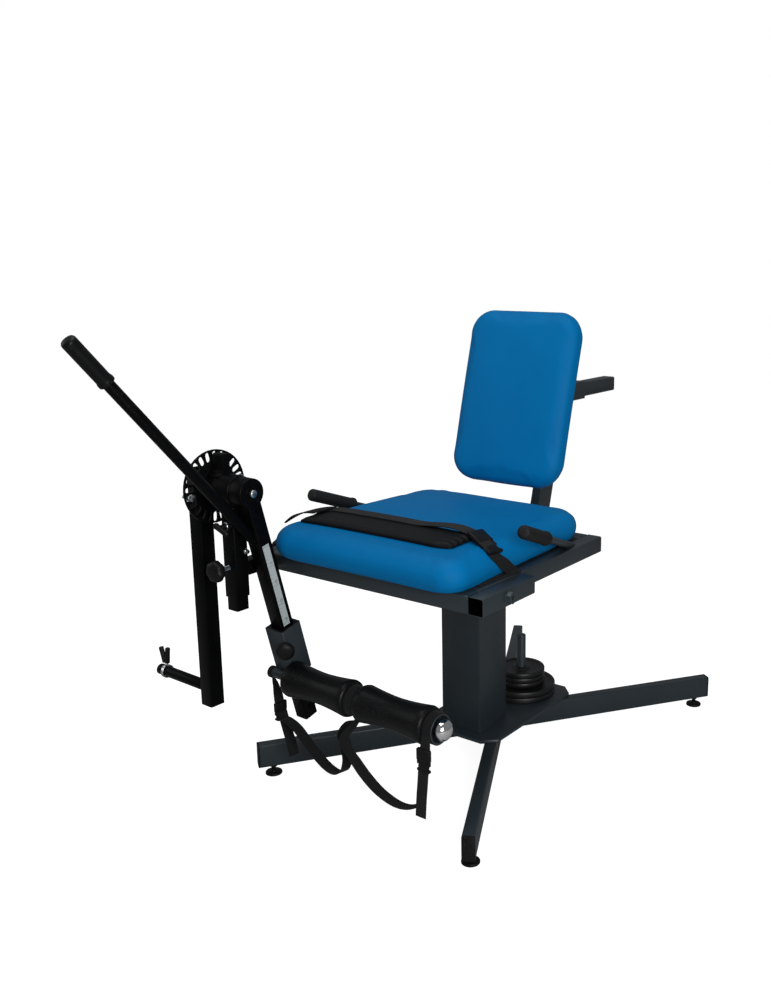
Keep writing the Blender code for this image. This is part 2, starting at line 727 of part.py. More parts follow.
def build_backrest():
    mid = FRAME_MID
    up = Vector((0.0, math.sin(POST_LEAN), math.cos(POST_LEAN)))
    foot = Vector((0.0, POST_FOOT_Y + POST_DEPTH / 2 / math.cos(POST_LEAN), FRAME_TOP + TOUCH))
    sleeve_bottom = BACK_TUBE_Z - BACK_SLEEVE / 2
    length = (sleeve_bottom - FRAME_TOP) / math.cos(POST_LEAN)
    shape = square_tube(POST_WIDTH, POST_DEPTH, FRAME_WALL, -0.03, length + 0.03, basis(foot, up, X_AXIS))
    slice_off(shape, foot, -Z_AXIS)
    slice_off(shape, Vector((0.0, 0.0, sleeve_bottom - TOUCH)), Z_AXIS)
    make("back_post", shape, ANTHRACITE)
    wall = (BACK_SLEEVE - BACK_TUBE) / 2 - RUNNING
    frame_bar("back_sleeve", (0.0, BACK_SLEEVE_FRONT, BACK_TUBE_Z),
              (0.0, BACK_SLEEVE_FRONT + BACK_SLEEVE_LENGTH, BACK_TUBE_Z), BACK_SLEEVE, BACK_SLEEVE, wall)
    half = BACK_HEIGHT / 2
    pad = cushion(BACK_HALF_WIDTH, half, BACK_THICK, BACK_CORNER, BACK_CROWN, back_frame(half))
    make("back_cushion", pad, BLUE_VINYL, 60.0)
    centre = back_frame()
    rise = (BACK_TUBE_Z - centre.translation.z) / math.cos(BACK_LEAN)
    plate_frame = back_frame(rise)
    outline = rounded_outline(BACK_PLATE_X, BACK_PLATE_HEIGHT, 0.012)
    plate = prism(outline, -TOUCH - BACK_PLATE_THICK, -TOUCH, plate_frame)
    item = make("back_slide", plate, ANTHRACITE)
    normal = plate_frame.to_3x3() @ Z_AXIS
    start = plate_frame.translation.y - 0.05
    bar = square_tube(BACK_TUBE, BACK_TUBE, FRAME_WALL, 0.0, BACK_TUBE_END - start,
                      basis((0.0, start, BACK_TUBE_Z), Y_AXIS, Z_AXIS))
    slice_off(bar, plate_frame @ Vector((0.0, 0.0, -TOUCH - BACK_PLATE_THICK / 2)), normal)
    join(item, bar)
    pivot_at(item, (0.0, BACK_SLEEVE_FRONT, BACK_TUBE_Z))


def lobed(radius, depth, lobes, per_lobe=4):
    points = []
    count = lobes * per_lobe
    for i in range(count):
        angle = 2 * math.pi * i / count
        r = radius - depth * (0.5 - 0.5 * math.cos(lobes * angle))
        points.append((r * math.cos(angle), r * math.sin(angle)))
    return points


def knob(name, seat, direction, radius=KNOB_RADIUS, standoff=KNOB_STANDOFF, thick=KNOB_THICK):
    """Lobed star knob on a plain spindle; seat is where the spindle meets the metal."""
    frame = basis(seat, direction, Z_AXIS if abs(Vector(direction).z) < 0.9 else X_AXIS)
    shape = bmesh.new()
    levels = ((0.80, standoff), (0.96, standoff + 0.15 * thick), (1.0, standoff + 0.35 * thick),
              (1.0, standoff + 0.72 * thick), (0.90, standoff + 0.93 * thick), (0.62, standoff + thick))
    loops = []
    for scale, z in levels:
        loops.append(ring(shape, lobed(radius * scale, radius * 0.10 * scale, KNOB_LOBES), z, frame))
    for lower, upper in zip(loops, loops[1:]):
        bridge(shape, lower, upper)
    shape.faces.new(list(reversed(loops[0])))
    shape.faces.new(loops[-1])
    item = make(name, shape, BLACK_PLASTIC)
    join(item, rod(SCREW_RADIUS, TOUCH, standoff + 0.004, frame, 12),
         rod(SCREW_RADIUS * 2.0, standoff - 0.007, standoff + 0.003, frame, 16))
    return pivot_at(item, seat)


def build_arm_carrier():
    """Insert tube that plugs into a receiver, welded to the upright sleeve."""
    sleeve_top = PIVOT_Z - HOUSING_RADIUS - TOUCH
    wall = (SLEEVE_OUTER - POST_TUBE) / 2 - POST_PLAY
    upright = Matrix.Translation((ARM_X, ARM_Y, 0.0))
    item = make("arm_carrier", square_tube(SLEEVE_OUTER, SLEEVE_OUTER, wall, SLEEVE_BOTTOM, sleeve_top, upright),
                BLACK_PAINT)
    start = ARM_Y + SLEEVE_OUTER / 2 - wall / 2
    end = FRAME_FRONT + INSERT_DEPTH
    fit = FRAME_TUBE - 2 * FRAME_WALL - 2 * RUNNING
    join(item, square_tube(fit, fit, TUBE_WALL, 0.0, end - start,
                           basis((ARM_X, start, FRAME_MID), Y_AXIS, Z_AXIS)))
    pivot_at(item, (ARM_X, FRAME_FRONT, FRAME_MID))
    knob("post_knob", (ARM_X, ARM_Y - SLEEVE_OUTER / 2, KNOB_Z), -Y_AXIS, KNOB_RADIUS * 0.88)
    knob("receiver_knob", (-(RECEIVER_X + FRAME_TUBE / 2 + NUT_THICK), FRAME_FRONT + NUT_FROM_FRONT, FRAME_MID),
         -X_AXIS, KNOB_RADIUS * 0.8, KNOB_STANDOFF * 0.6, KNOB_THICK * 0.8)
    knob("back_knob", (-BACK_SLEEVE / 2, BACK_SLEEVE_FRONT + BACK_SLEEVE_LENGTH / 2, BACK_TUBE_Z), -X_AXIS,
         KNOB_RADIUS * 0.9, KNOB_STANDOFF * 0.7, KNOB_THICK * 0.8)


def build_height_plunger():
    """Zinc bush and T handle on the front of the upright sleeve."""
    seat = Vector((ARM_X, ARM_Y - SLEEVE_OUTER / 2 - TOUCH, PLUNGER_Z))
    frame = basis(seat, -Y_AXIS, Z_AXIS)
    reach = PLUNGER_REACH
    profile = [(0.0, 0.0), (0.0085, 0.0), (0.0085, reach * 0.45), (0.0060, reach * 0.55), (0.0060, reach),
               (0.0, reach)]
    item = make("height_plunger", turned(profile, frame, 16), BLACK_PLASTIC)
    bar = Vector((math.cos(PLUNGER_TILT), 0.0, -math.sin(PLUNGER_TILT)))
    centre = seat - Y_AXIS * reach - Z_AXIS * 0.006
    half, r = PLUNGER_HALF, PLUNGER_RADIUS
    profile = [(0.0, -half), (r * 0.6, -half), (r, -half + 0.004), (r * 0.9, -0.006), (r * 0.9, 0.006),
               (r, half - 0.004), (r * 0.6, half), (0.0, half)]
    join(item, turned(profile, basis(centre, bar, Y_AXIS), 14))
    pivot_at(item, seat)


def build_arm_post():
    """Inner post with the bearing housing and the fin that the stop bolt meets."""
    post_low = SLEEVE_BOTTOM - INNER_DROP
    top = PIVOT_Z - HOUSING_RADIUS * 0.6
    post = square_tube(POST_TUBE, POST_TUBE, TUBE_WALL, post_low, top, Matrix.Translation((ARM_X, ARM_Y, 0.0)))
    item = make("arm_post", post, BLACK_PAINT)
    across = basis((0.0, ARM_Y, PIVOT_Z), X_AXIS, Z_AXIS)
    lip = 0.0025
    profile = [(0.0, HOUSING_LEFT), (HOUSING_RADIUS - lip, HOUSING_LEFT), (HOUSING_RADIUS, HOUSING_LEFT + lip),
               (HOUSING_RADIUS, HOUSING_RIGHT - lip), (HOUSING_RADIUS - lip, HOUSING_RIGHT),
               (0.0, HOUSING_RIGHT)]
    join(item, turned(profile, across), fin_shape())
    cut(item, prism(circle(AXLE_RADIUS + RUNNING, 24), HOUSING_LEFT - 0.01, HOUSING_RIGHT + 0.01, across))
    pivot_at(item, (ARM_X, ARM_Y, post_low))


def fin_shape():
    """Upright stop block on the housing, with flared feet."""
    half = FIN_WIDTH / 2
    flare = 0.016
    foot = HOUSING_RADIUS - 0.004
    points = []
    for side in (1, -1):
        side_points = []
        for step in range(5):
            angle = math.pi / 2 * step / 4
            side_points.append((side * (half + flare * (1 - math.sin(angle))), foot + flare * (1 - math.cos(angle))))
        side_points += [(side * half, FIN_REACH - 0.004), (side * (half - 0.004), FIN_REACH)]
        points += side_points if side == 1 else list(reversed(side_points))
    points += [(-half - flare * 0.6, foot - 0.010), (half + flare * 0.6, foot - 0.010)]
    frame = Matrix(((0, 0, 1, HOUSING_LEFT), (1, 0, 0, ARM_Y), (0, 1, 0, PIVOT_Z), (0, 0, 0, 1)))
    return prism(points, 0.0, FIN_THICK, frame)


def slot_shapes(frame):
    """All the radial slots of the range disc, each with round ends."""
    shapes = []
    half = SLOT_WIDTH / 2
    straight = SLOT_LENGTH / 2 - half
    for number in range(SLOT_COUNT):
        turn = SLOT_PHASE + 2 * math.pi * number / SLOT_COUNT
        radial = (math.cos(turn), math.sin(turn))
        outline = []
        for end, first in ((1, -90.0), (-1, 90.0)):
            for step in range(5):
                angle = math.radians(first + 45.0 * step)
                along = SLOT_RADIUS + end * straight + half * math.cos(angle)
                aside = half * math.sin(angle)
                outline.append((along * radial[0] - aside * radial[1], along * radial[1] + aside * radial[0]))
        shapes.append(prism(outline, DISC_RIGHT - DISC_THICK - 0.004, DISC_RIGHT + 0.004, frame))
    return shapes


def merge(shapes):
    """Several separate shapes in one bmesh."""
    total = bmesh.new()
    for shape in shapes:
        mesh = bpy.data.meshes.new("part")
        bmesh.ops.recalc_face_normals(shape, faces=shape.faces)
        shape.to_mesh(mesh)
        shape.free()
        total.from_mesh(mesh)
        bpy.data.meshes.remove(mesh)
    return total


def build_disc():
    """Axle, range disc and head bolt, turned in one and then slotted."""
    side = Matrix(((0, 0, 1, 0), (1, 0, 0, ARM_Y), (0, 1, 0, PIVOT_Z), (0, 0, 0, 1)))
    far = WEIGHT_RIGHT - WEIGHT_TUBE - 0.006
    disc_left = DISC_RIGHT - DISC_THICK
    hub = AXLE_RADIUS * 1.9
    bolt_face = LEVER_RIGHT + LEVER_HEAD_PROUD + TOUCH
    shaft_end = LEVER_RIGHT - 0.006
    profile = [(0.0, far), (AXLE_RADIUS - 0.001, far), (AXLE_RADIUS, far + 0.001),
               (AXLE_RADIUS, WEIGHT_RIGHT + 0.003), (hub, WEIGHT_RIGHT + 0.003), (hub, disc_left),
               (DISC_RADIUS - 0.001, disc_left), (DISC_RADIUS, disc_left + 0.001),
               (DISC_RADIUS, DISC_RIGHT - 0.001), (DISC_RADIUS - 0.001, DISC_RIGHT), (hub, DISC_RIGHT),
               (hub, HOUSING_LEFT - 0.0006), (AXLE_RADIUS, HOUSING_LEFT - 0.0006), (AXLE_RADIUS, shaft_end),
               (0.005, shaft_end), (0.005, bolt_face), (0.011, bolt_face), (0.011, bolt_face + 0.0015),
               (0.0085, bolt_face + 0.0015), (0.0085, bolt_face + 0.007), (0.0, bolt_face + 0.007)]
    item = make("range_disc", turned(profile, side, 40), BLACK_PAINT)
    cut(item, merge(slot_shapes(side)))
    pivot_at(item, PIVOT + X_AXIS * DISC_RIGHT)
    turn = SLOT_PHASE + 2 * math.pi * STOP_SLOT / SLOT_COUNT
    centre = side @ Vector((SLOT_RADIUS * math.cos(turn), SLOT_RADIUS * math.sin(turn), 0.0))
    frame = basis(centre, X_AXIS, Z_AXIS)
    right, left = DISC_RIGHT + TOUCH, disc_left - TOUCH
    bolt = make("stop_bolt", prism(circle(STOP_HEAD * 0.64, 20), right, right + 0.0015, frame), ZINC)
    join(bolt, prism(hexagon(STOP_HEAD), right + 0.001, right + 0.010, frame),
         rod(STOP_SHANK, left - 0.020, right + 0.003, frame, 12),
         prism(hexagon(STOP_HEAD), left - 0.007, left, frame))


def build_lever():
    """Leaning square tube with a round head on the axle."""
    top = PIVOT + X_AXIS * LEVER_X
    shape = square_tube(LEVER_TUBE, LEVER_TUBE, TUBE_WALL, LEVER_HEAD_RADIUS * 0.55, LEVER_LENGTH,
                        basis(top, LEVER_DOWN, X_AXIS))
    item = make("leg_lever", shape, BLACK_PAINT)
    across = basis((0.0, ARM_Y, PIVOT_Z), X_AXIS, Z_AXIS)
    join(item, rod(LEVER_HEAD_RADIUS, LEVER_LEFT - LEVER_HEAD_PROUD, LEVER_RIGHT + LEVER_HEAD_PROUD, across,
                   SEGMENTS, 0.0015))
    cut(item, prism(circle(AXLE_RADIUS + TOUCH, 24), LEVER_LEFT - 0.01, LEVER_RIGHT - 0.006 + TOUCH, across),
        prism(circle(0.005 + TOUCH, 16), LEVER_LEFT, LEVER_RIGHT + 0.01, across))
    pivot_at(item, top)


def build_hand_lever():
    front = LEVER_TUBE / 2 + TOUCH
    foot = PIVOT + X_AXIS * LEVER_X + LEVER_DOWN * HAND_LEVER_FOOT + LEVER_OUT * front
    along = Vector((0.0, -math.cos(HAND_LEVER_ANGLE), math.sin(HAND_LEVER_ANGLE)))
    frame = basis(foot, along, X_AXIS)
    inner = circle(HAND_LEVER_RADIUS - TUBE_WALL, 20)
    shape = tube(circle(HAND_LEVER_RADIUS, 20), inner, -0.04, HAND_LEVER_LENGTH, frame)
    slice_off(shape, foot, -LEVER_OUT)
    make("hand_lever", shape, BLACK_PAINT)
    tip = foot + along * HAND_LEVER_LENGTH
    start = HAND_GRIP_LENGTH - GRIP_END
    bore = HAND_LEVER_RADIUS + TOUCH
    r = HAND_GRIP_RADIUS
    profile = [(0.0, GRIP_END), (r * 0.75, GRIP_END), (r, GRIP_END - 0.004), (r, -start + 0.002),
               (r - 0.002, -start), (bore, -start), (bore, TOUCH), (0.0, TOUCH)]
    make("hand_lever_grip", turned(profile, basis(tip, along, X_AXIS), 24), BLACK_FOAM)


def roller_x():
    """Left ends of the two rollers and of the end cap."""
    start = LEVER_X + SLIDE_OUTER / 2 + 2 * TOUCH
    second = start + ROLLER_LENGTH + ROLLER_GAP
    return start, second, second + ROLLER_LENGTH + DRUM_LENGTH + 2 * TOUCH


def build_shin_slide():
    top = PIVOT + X_AXIS * LEVER_X
    down = basis(top, LEVER_DOWN, X_AXIS)
    end = SLIDE_START + SLIDE_LENGTH
    item = make("shin_slide", square_tube(SLIDE_OUTER, SLIDE_OUTER, SLIDE_WALL, SLIDE_START, end, down), ANTHRACITE)
    axle = PIVOT + LEVER_DOWN * ROLLER_AXLE_DROP + LEVER_OUT * ROLLER_AXLE_OUT
    first, second, cap = roller_x()
    left = LEVER_X - SLIDE_OUTER / 2 - ROLLER_STUB
    right = cap + CAP_LENGTH * 0.45
    r = ROLLER_AXLE_RADIUS
    mid = first + ROLLER_LENGTH + TOUCH
    far = second + ROLLER_LENGTH + TOUCH
    drum = DRUM_RADIUS
    skin = drum - DRUM_WALL
    centre_end, far_end = second - TOUCH, far + DRUM_LENGTH
    hollow = r - AXLE_WALL
    profile = [(0.0, left), (r - 0.003, left), (r, left + 0.003), (r, mid), (drum, mid),
               (drum, centre_end), (skin, centre_end), (skin, mid + DRUM_WALL), (r, mid + DRUM_WALL),
               (r, far), (drum, far), (drum, far_end), (skin, far_end), (skin, far + DRUM_WALL),
               (r, far + DRUM_WALL), (r, right), (hollow, right), (hollow, left + 2 * AXLE_WALL),
               (0.0, left + 2 * AXLE_WALL)]
    across = Matrix(((0, 0, 1, 0), (1, 0, 0, axle.y), (0, 1, 0, axle.z), (0, 0, 0, 1)))
    join(item, turned(profile, across, 24))
    pivot_at(item, down @ Vector((0.0, 0.0, SLIDE_START)))
    hole = LEVER_TUBE + 2 * RUNNING
    wall = (SLIDE_OUTER - 2 * SLIDE_WALL - 2 * TOUCH - hole) / 2
    liner = make("slide_liner", square_tube(hole + 2 * wall, hole + 2 * wall, wall, SLIDE_START + 0.001,
                                            end - 0.016, down), BLACK_PLASTIC)
    pivot_at(liner, down @ Vector((0.0, 0.0, SLIDE_START)))
    for number, x in ((1, first), (2, second)):
        build_roller(number, x, across, axle)
    build_cap(cap, across, right)
    corner = SLIDE_OUTER / 2 - CORNER * (1 - math.sqrt(0.5))
    outward = (X_AXIS + LEVER_OUT).normalized()
    seat = top + LEVER_DOWN * (SLIDE_START + BALL_DROP) + (X_AXIS + LEVER_OUT) * corner
    frame = basis(seat, outward, LEVER_DOWN)
    profile = [(0.0, TOUCH), (0.006, TOUCH), (0.006, 0.010), (0.011, 0.012), (BALL_RADIUS * 0.8, 0.015),
               (BALL_RADIUS, 0.020), (BALL_RADIUS, 0.025), (BALL_RADIUS * 0.88, 0.030),
               (BALL_RADIUS * 0.55, 0.033), (0.0, 0.034)]
    pivot_at(make("slide_knob", turned(profile, frame, 24), BLACK_PLASTIC), seat)


def build_roller(number, x, across, axle):
    """Foam pad on the axle, full at both ends and drawn in at its waist."""
    bore = ROLLER_AXLE_RADIUS + 0.0005
    profile = [(bore, x), (ROLLER_RADIUS - 0.008, x), (ROLLER_RADIUS - 0.001, x + 0.006)]
    for step in range(9):
        t = step / 8
        r = ROLLER_WAIST + (ROLLER_RADIUS - ROLLER_WAIST) * abs(2 * t - 1) ** 1.6
        profile.append((r, x + 0.012 + (ROLLER_LENGTH - 0.024) * t))
    end = x + ROLLER_LENGTH
    profile += [(ROLLER_RADIUS - 0.001, end - 0.006), (ROLLER_RADIUS - 0.008, end), (bore, end)]
    item = make(f"roller_{number}", turned(profile, across, SEGMENTS), BLACK_FOAM)
    pivot_at(item, (x, axle.y, axle.z))


def build_cap(x, across, axle_end):
    """Domed end cap pressed over the axle's end."""
    bore = ROLLER_AXLE_RADIUS + TOUCH
    r, length = CAP_RADIUS, CAP_LENGTH
    belly = 0.35 * length
    profile = [(r * 0.90, x)]
    for step in range(1, 4):
        t = step / 3
        profile.append((r * (0.90 + 0.10 * math.sin(math.pi / 2 * t)), x + belly * t))
    for step in range(1, 7):
        angle = math.pi / 2 * step / 6
        radius = 0.0 if step == 6 else r * math.cos(angle)
        profile.append((radius, x + belly + (length - belly) * math.sin(angle)))
    item = make("roller_cap", turned([(0.0, x)] + profile, across, 24), CHROME)
    cut(item, prism(circle(bore, 24), x - 0.01, axle_end + TOUCH, across))


def build_ankle_straps():
    """Two slings of webbing hung from the roller axle, each with its buckle and a free tail."""
    first, second, cap = roller_x()
    axle = PIVOT + LEVER_DOWN * ROLLER_AXLE_DROP + LEVER_OUT * ROLLER_AXLE_OUT
    across = Matrix(((0, 0, 1, 0), (1, 0, 0, axle.y), (0, 1, 0, axle.z), (0, 0, 0, 1)))
    middle = (first + ROLLER_LENGTH + second) / 2
    t, w = ANKLE_THICK, ANKLE_WIDTH
    half = ROLLER_GAP / 2 - 0.0015
    stub = LEVER_X - SLIDE_OUTER / 2
    yz = axle.y, axle.z

    def at(x, forward, down):
        return (x, yz[0] - forward, yz[1] - down)

    def station(x, forward, down, turn, width=w):
        angle = math.radians(turn)
        return (at(x, forward, down), Vector((math.cos(angle), math.sin(angle), 0.0)), width)

    drum_in, drum_out = DRUM_RADIUS + TOUCH, DRUM_RADIUS + TOUCH + t
    stub_in = ROLLER_AXLE_RADIUS + TOUCH
    sling = [station(stub - 0.005, 0.0, 0.0145, 0, 0.009), station(stub + 0.001, -0.002, 0.036, 60, 0.016),
             station(stub + 0.0055, -0.004, 0.068, 90), station(stub + 0.0075, -0.005, 0.104, 90),
             station(stub + 0.0125, -0.004, 0.118, 90), station(stub + 0.0305, -0.003, 0.114, 90),
             station(stub + 0.0665, -0.004, 0.127, 85), station(stub + 0.1115, -0.006, 0.166, 82),
             station(stub + 0.1565, -0.008, 0.197, 80), station(stub + 0.1905, -0.009, 0.205, 80),
             station(stub + 0.2145, -0.010, 0.192, 80), station(stub + 0.2245, -0.011, 0.160, 80),
             station(stub + 0.2185, -0.012, 0.125, 70), station(stub + 0.2095, -0.013, 0.100, 55, 0.024),
             station(stub + 0.2330, -0.010, 0.068, 20, 0.018), station(middle - 0.0075, -0.002, 0.050, 0, 0.012),
             station(middle - half * 0.5, 0.0, drum_in + 0.001, 0, 0.012)]
    item = make("ankle_strap_1", band(sling, t), WEBBING)
    tail = [station(stub + 0.0095, -0.009, 0.100, 90), station(stub + 0.0195, -0.012, 0.140, 90),
            station(stub + 0.0365, -0.010, 0.178, 88), station(stub + 0.0455, -0.008, 0.205, 86)]
    buckle = block(at(stub + 0.0075, -0.006, 0.098), -Z_AXIS, Y_AXIS, 0.044, w + 0.008, 0.009)
    join(item, bored_rod(stub_in + t, stub_in, stub - 0.0105, stub - 0.0005, across, 20),
         bored_rod(drum_out, drum_in, middle - half, middle - 0.0003, across, 28), band(tail, t), buckle)
    end = cap - DRUM_LENGTH / 2
    sling = [station(middle + half * 0.5, 0.002, drum_in + 0.001, 0, 0.012),
             station(middle - 0.012, 0.008, 0.062, 5, 0.020), station(middle - 0.036, 0.011, 0.092, 12, 0.024),
             station(middle - 0.031, 0.012, 0.114, 22), station(middle - 0.006, 0.012, 0.138, 38),
             station(middle + 0.027, 0.010, 0.170, 52), station(middle + 0.063, 0.006, 0.197, 62),
             station(middle + 0.103, 0.002, 0.213, 70), station(middle + 0.136, 0.000, 0.214, 80),
             station(middle + 0.170, 0.006, 0.198, 100), station(middle + 0.200, 0.014, 0.172, 118),
             station(middle + 0.207, 0.022, 0.143, 130), station(end - 0.012, 0.028, 0.112, 158),
             station(end - 0.008, 0.032, 0.080, 178), station(end - 0.003, 0.0345, 0.045, 180),
             station(end, 0.0345, 0.003, 180, 0.020)]
    item = make("ankle_strap_2", band(sling, t), WEBBING)
    tail = [station(end - 0.006, 0.036, 0.074, 180), station(end - 0.008, 0.037, 0.110, 180),
            station(end - 0.012, 0.037, 0.150, 180), station(end - 0.018, 0.034, 0.198, 180)]
    buckle = block(at(end - 0.005, 0.0345, 0.060), -Z_AXIS, X_AXIS, 0.054, w + 0.008, 0.010)
    join(item, bored_rod(drum_out, drum_in, middle + 0.0003, middle + half, across, 28),
         bored_rod(drum_out, drum_in, end - DRUM_LENGTH / 2 + 0.001, end + DRUM_LENGTH / 2 - 0.001, across, 28),
         band(tail, t), buckle)


def build_weight_arm():
    """Hanging square tube on the axle with the round bar for the plates."""
    x = WEIGHT_RIGHT - WEIGHT_TUBE / 2
    shape = square_tube(WEIGHT_TUBE, WEIGHT_TUBE, FRAME_WALL, WEIGHT_BOTTOM, PIVOT_Z + WEIGHT_TOP,
                        Matrix.Translation((x, ARM_Y, 0.0)))
    item = make("weight_arm", shape, BLACK_PAINT)
    across = basis((0.0, ARM_Y, PIVOT_Z), X_AXIS, Z_AXIS)
    left = WEIGHT_RIGHT - WEIGHT_TUBE
    low = basis((0.0, ARM_Y, BAR_Z), X_AXIS, Z_AXIS)
    join(item, rod(AXLE_RADIUS + 0.007, left - 0.001, WEIGHT_RIGHT + 0.001, across, 24),
         rod(BAR_RADIUS, left - BAR_LENGTH, left + FRAME_WALL * 0.5, low, 20, 0.002))
    cut(item, prism(circle(AXLE_RADIUS + RUNNING, 24), left - 0.01, WEIGHT_RIGHT + 0.01, across))
    pivot_at(item, (x, ARM_Y, PIVOT_Z))
    build_collar(left - BAR_LENGTH + COLLAR_FROM_END, low)


def build_collar(x, low):
    """Wire ring clip with two handles on the loading bar."""
    wire = 0.0017
    bore = BAR_RADIUS + TOUCH
    ring_shape = bored_rod(bore + 2 * wire, bore, x, x + 0.009, low, 24)
    item = make("spring_collar", ring_shape, ZINC)
    centre = low @ Vector((0.0, 0.0, x + 0.0045))
    for lean in (-18.0, 7.0):
        angle = math.radians(lean)
        along = Vector((math.sin(angle), 0.0, math.cos(angle)))
        start = centre + along * (bore + wire)
        join(item, rod(wire, 0.0, 0.012, basis(start, along, X_AXIS), 8),
             rod(0.0062, 0.008, 0.050, basis(start, along, X_AXIS), 12, 0.002))


def turn_arm():
    """Turn all that the post carries a little about it, as its play in the sleeve lets it stand."""
    turn = (Matrix.Translation((ARM_X, ARM_Y, 0.0)) @ Matrix.Rotation(ARM_TURN, 4, 'Z')
            @ Matrix.Translation((-ARM_X, -ARM_Y, 0.0)))
    for name in ("arm_post", "range_disc", "stop_bolt", "leg_lever", "hand_lever", "hand_lever_grip", "weight_arm",
                 "spring_collar", "shin_slide", "slide_liner", "slide_knob", "roller_1", "roller_2", "roller_cap",
                 "ankle_strap_1", "ankle_strap_2"):
        item = bpy.data.objects[name]
        origin = item.matrix_basis.translation.copy()
        spot = turn @ origin
        item.data.transform(Matrix.Translation(-spot) @ turn @ Matrix.Translation(origin))
        item.location = spot


def centre_on_floor():
    """Move everything so that the origin is at the bottom centre of the whole."""
    corners = [item.matrix_basis @ vertex.co for item in bpy.data.objects for vertex in item.data.vertices]
    low = [min(corner[axis] for corner in corners) for axis in range(3)]
    high = [max(corner[axis] for corner in corners) for axis in range(3)]
    shift = Vector(((low[0] + high[0]) / 2, (low[1] + high[1]) / 2, low[2]))
    for item in bpy.data.objects:
        item.location = item.location - shift


def build_all():
    clear_scene()
    build_base()
    build_plates()
    build_seat_frame()
    build_seat()
    build_side_grip(1, "left")
    build_side_grip(-1, "right")
    build_thigh_strap()
    build_backrest()
    build_arm_carrier()
    build_height_plunger()
    build_arm_post()
    build_disc()
    build_lever()
    build_hand_lever()
    build_shin_slide()
    build_ankle_straps()
    build_weight_arm()
    turn_arm()
    centre_on_floor()


build_all()
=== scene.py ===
"""Quadriceps exercise chair: upholstery, straps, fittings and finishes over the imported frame."""
import math

import bmesh
import bpy
from mathutils import Matrix, Vector


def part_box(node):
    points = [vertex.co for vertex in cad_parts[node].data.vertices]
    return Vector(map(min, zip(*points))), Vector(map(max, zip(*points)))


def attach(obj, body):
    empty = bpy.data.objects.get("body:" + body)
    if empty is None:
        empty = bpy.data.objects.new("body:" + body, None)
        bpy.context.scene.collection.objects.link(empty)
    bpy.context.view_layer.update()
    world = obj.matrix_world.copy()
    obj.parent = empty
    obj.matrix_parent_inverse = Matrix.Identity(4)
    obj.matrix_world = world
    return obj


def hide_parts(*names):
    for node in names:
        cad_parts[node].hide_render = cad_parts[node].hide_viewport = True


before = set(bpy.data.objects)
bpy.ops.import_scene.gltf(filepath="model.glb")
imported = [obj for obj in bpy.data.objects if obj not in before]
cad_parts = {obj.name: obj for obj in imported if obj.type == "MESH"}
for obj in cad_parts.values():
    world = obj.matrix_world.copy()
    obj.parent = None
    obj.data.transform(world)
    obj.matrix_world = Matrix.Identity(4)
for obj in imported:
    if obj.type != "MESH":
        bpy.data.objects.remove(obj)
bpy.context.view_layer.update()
bpy.ops.object.select_all(action='DESELECT')

X_AXIS = Vector((1.0, 0.0, 0.0))
Y_AXIS = Vector((0.0, 1.0, 0.0))
Z_AXIS = Vector((0.0, 0.0, 1.0))

# Sizes of the chair, measured from the floor point where the legs cross
deck_low, deck_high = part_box("base_plate")
CROSSING = Vector(((deck_low.x + deck_high.x) / 2, (deck_low.y + deck_high.y) / 2, 0.0))
FRAME_TOP = 0.598
ARM_X = -0.302
ARM_Y = -0.618
PIVOT_Z = 0.764
LEAN = math.radians(14.5)
ARM_TURN = math.radians(-2.0)
LEVER_TUBE = 0.038
LEVER_X = -0.254
LEVER_RIGHT = -0.235
HEAD_OUT = 0.0024
SLEEVE_HALF = 0.020
DISC_FACE = -0.360
AXLE_OUT = 0.036
AXLE_DROP = 0.466
AXLE_RADIUS = 0.0125
ROLLER_ENDS = ((-0.2234, 0.200), (0.0066, 0.200))
DRUM_RADIUS = 0.033
DRUM_LENGTH = 0.024
SLIDE_OUTER = 0.060
SLIDE_START = 0.345
DOWN = Vector((0.0, math.sin(LEAN), -math.cos(LEAN)))
OUT = Vector((0.0, -math.cos(LEAN), -math.sin(LEAN)))
BACK_LEAN = math.radians(15.0)


def at(x, y, z):
    """A point given from the crossing of the legs."""
    return Vector((x, y, z)) + CROSSING


PIVOT = at(0.0, ARM_Y, PIVOT_Z)
AXLE = PIVOT + DOWN * AXLE_DROP + OUT * AXLE_OUT
POST_FOOT = at(ARM_X, ARM_Y, 0.0)
ARM_SET = Matrix.Translation(POST_FOOT) @ Matrix.Rotation(ARM_TURN, 4, 'Z') @ Matrix.Translation(-POST_FOOT)
ARM_BODIES = ("arm_post", "lever", "weight_arm", "spring_collar", "shin_slide", "roller_1", "roller_2", "slide_knob")


def basis(origin, along, across):
    """Place whose Z runs along one direction and whose X leans towards another."""
    z = Vector(along).normalized()
    x = (Vector(across) - z * Vector(across).dot(z)).normalized()
    turn = Matrix((x, z.cross(x), z)).transposed().to_4x4()
    return Matrix.Translation(Vector(origin)) @ turn


def set_inputs(node, **values):
    """Constants on a node's own sockets, whose spaces are written as underlines."""
    for label, value in values.items():
        node.inputs[label.replace("_", " ")].default_value = value


def make_active(piece):
    bpy.context.view_layer.objects.active = piece


def select_only(piece):
    bpy.ops.object.select_all(action='DESELECT')
    piece.select_set(True)
    make_active(piece)


# Camera, lights and floor

def set_camera():
    bpy.ops.object.camera_add(location=at(1.4744, -2.1432, 1.27285),
                              rotation=(math.radians(77.62), 0.0, math.radians(34.60)))
    camera = bpy.context.object
    camera.name = "camera"
    camera.data.sensor_width = 36.0
    camera.data.lens = 37.193
    camera.data.shift_x = -0.1119
    camera.data.shift_y = -0.0155
    bpy.context.scene.camera = camera


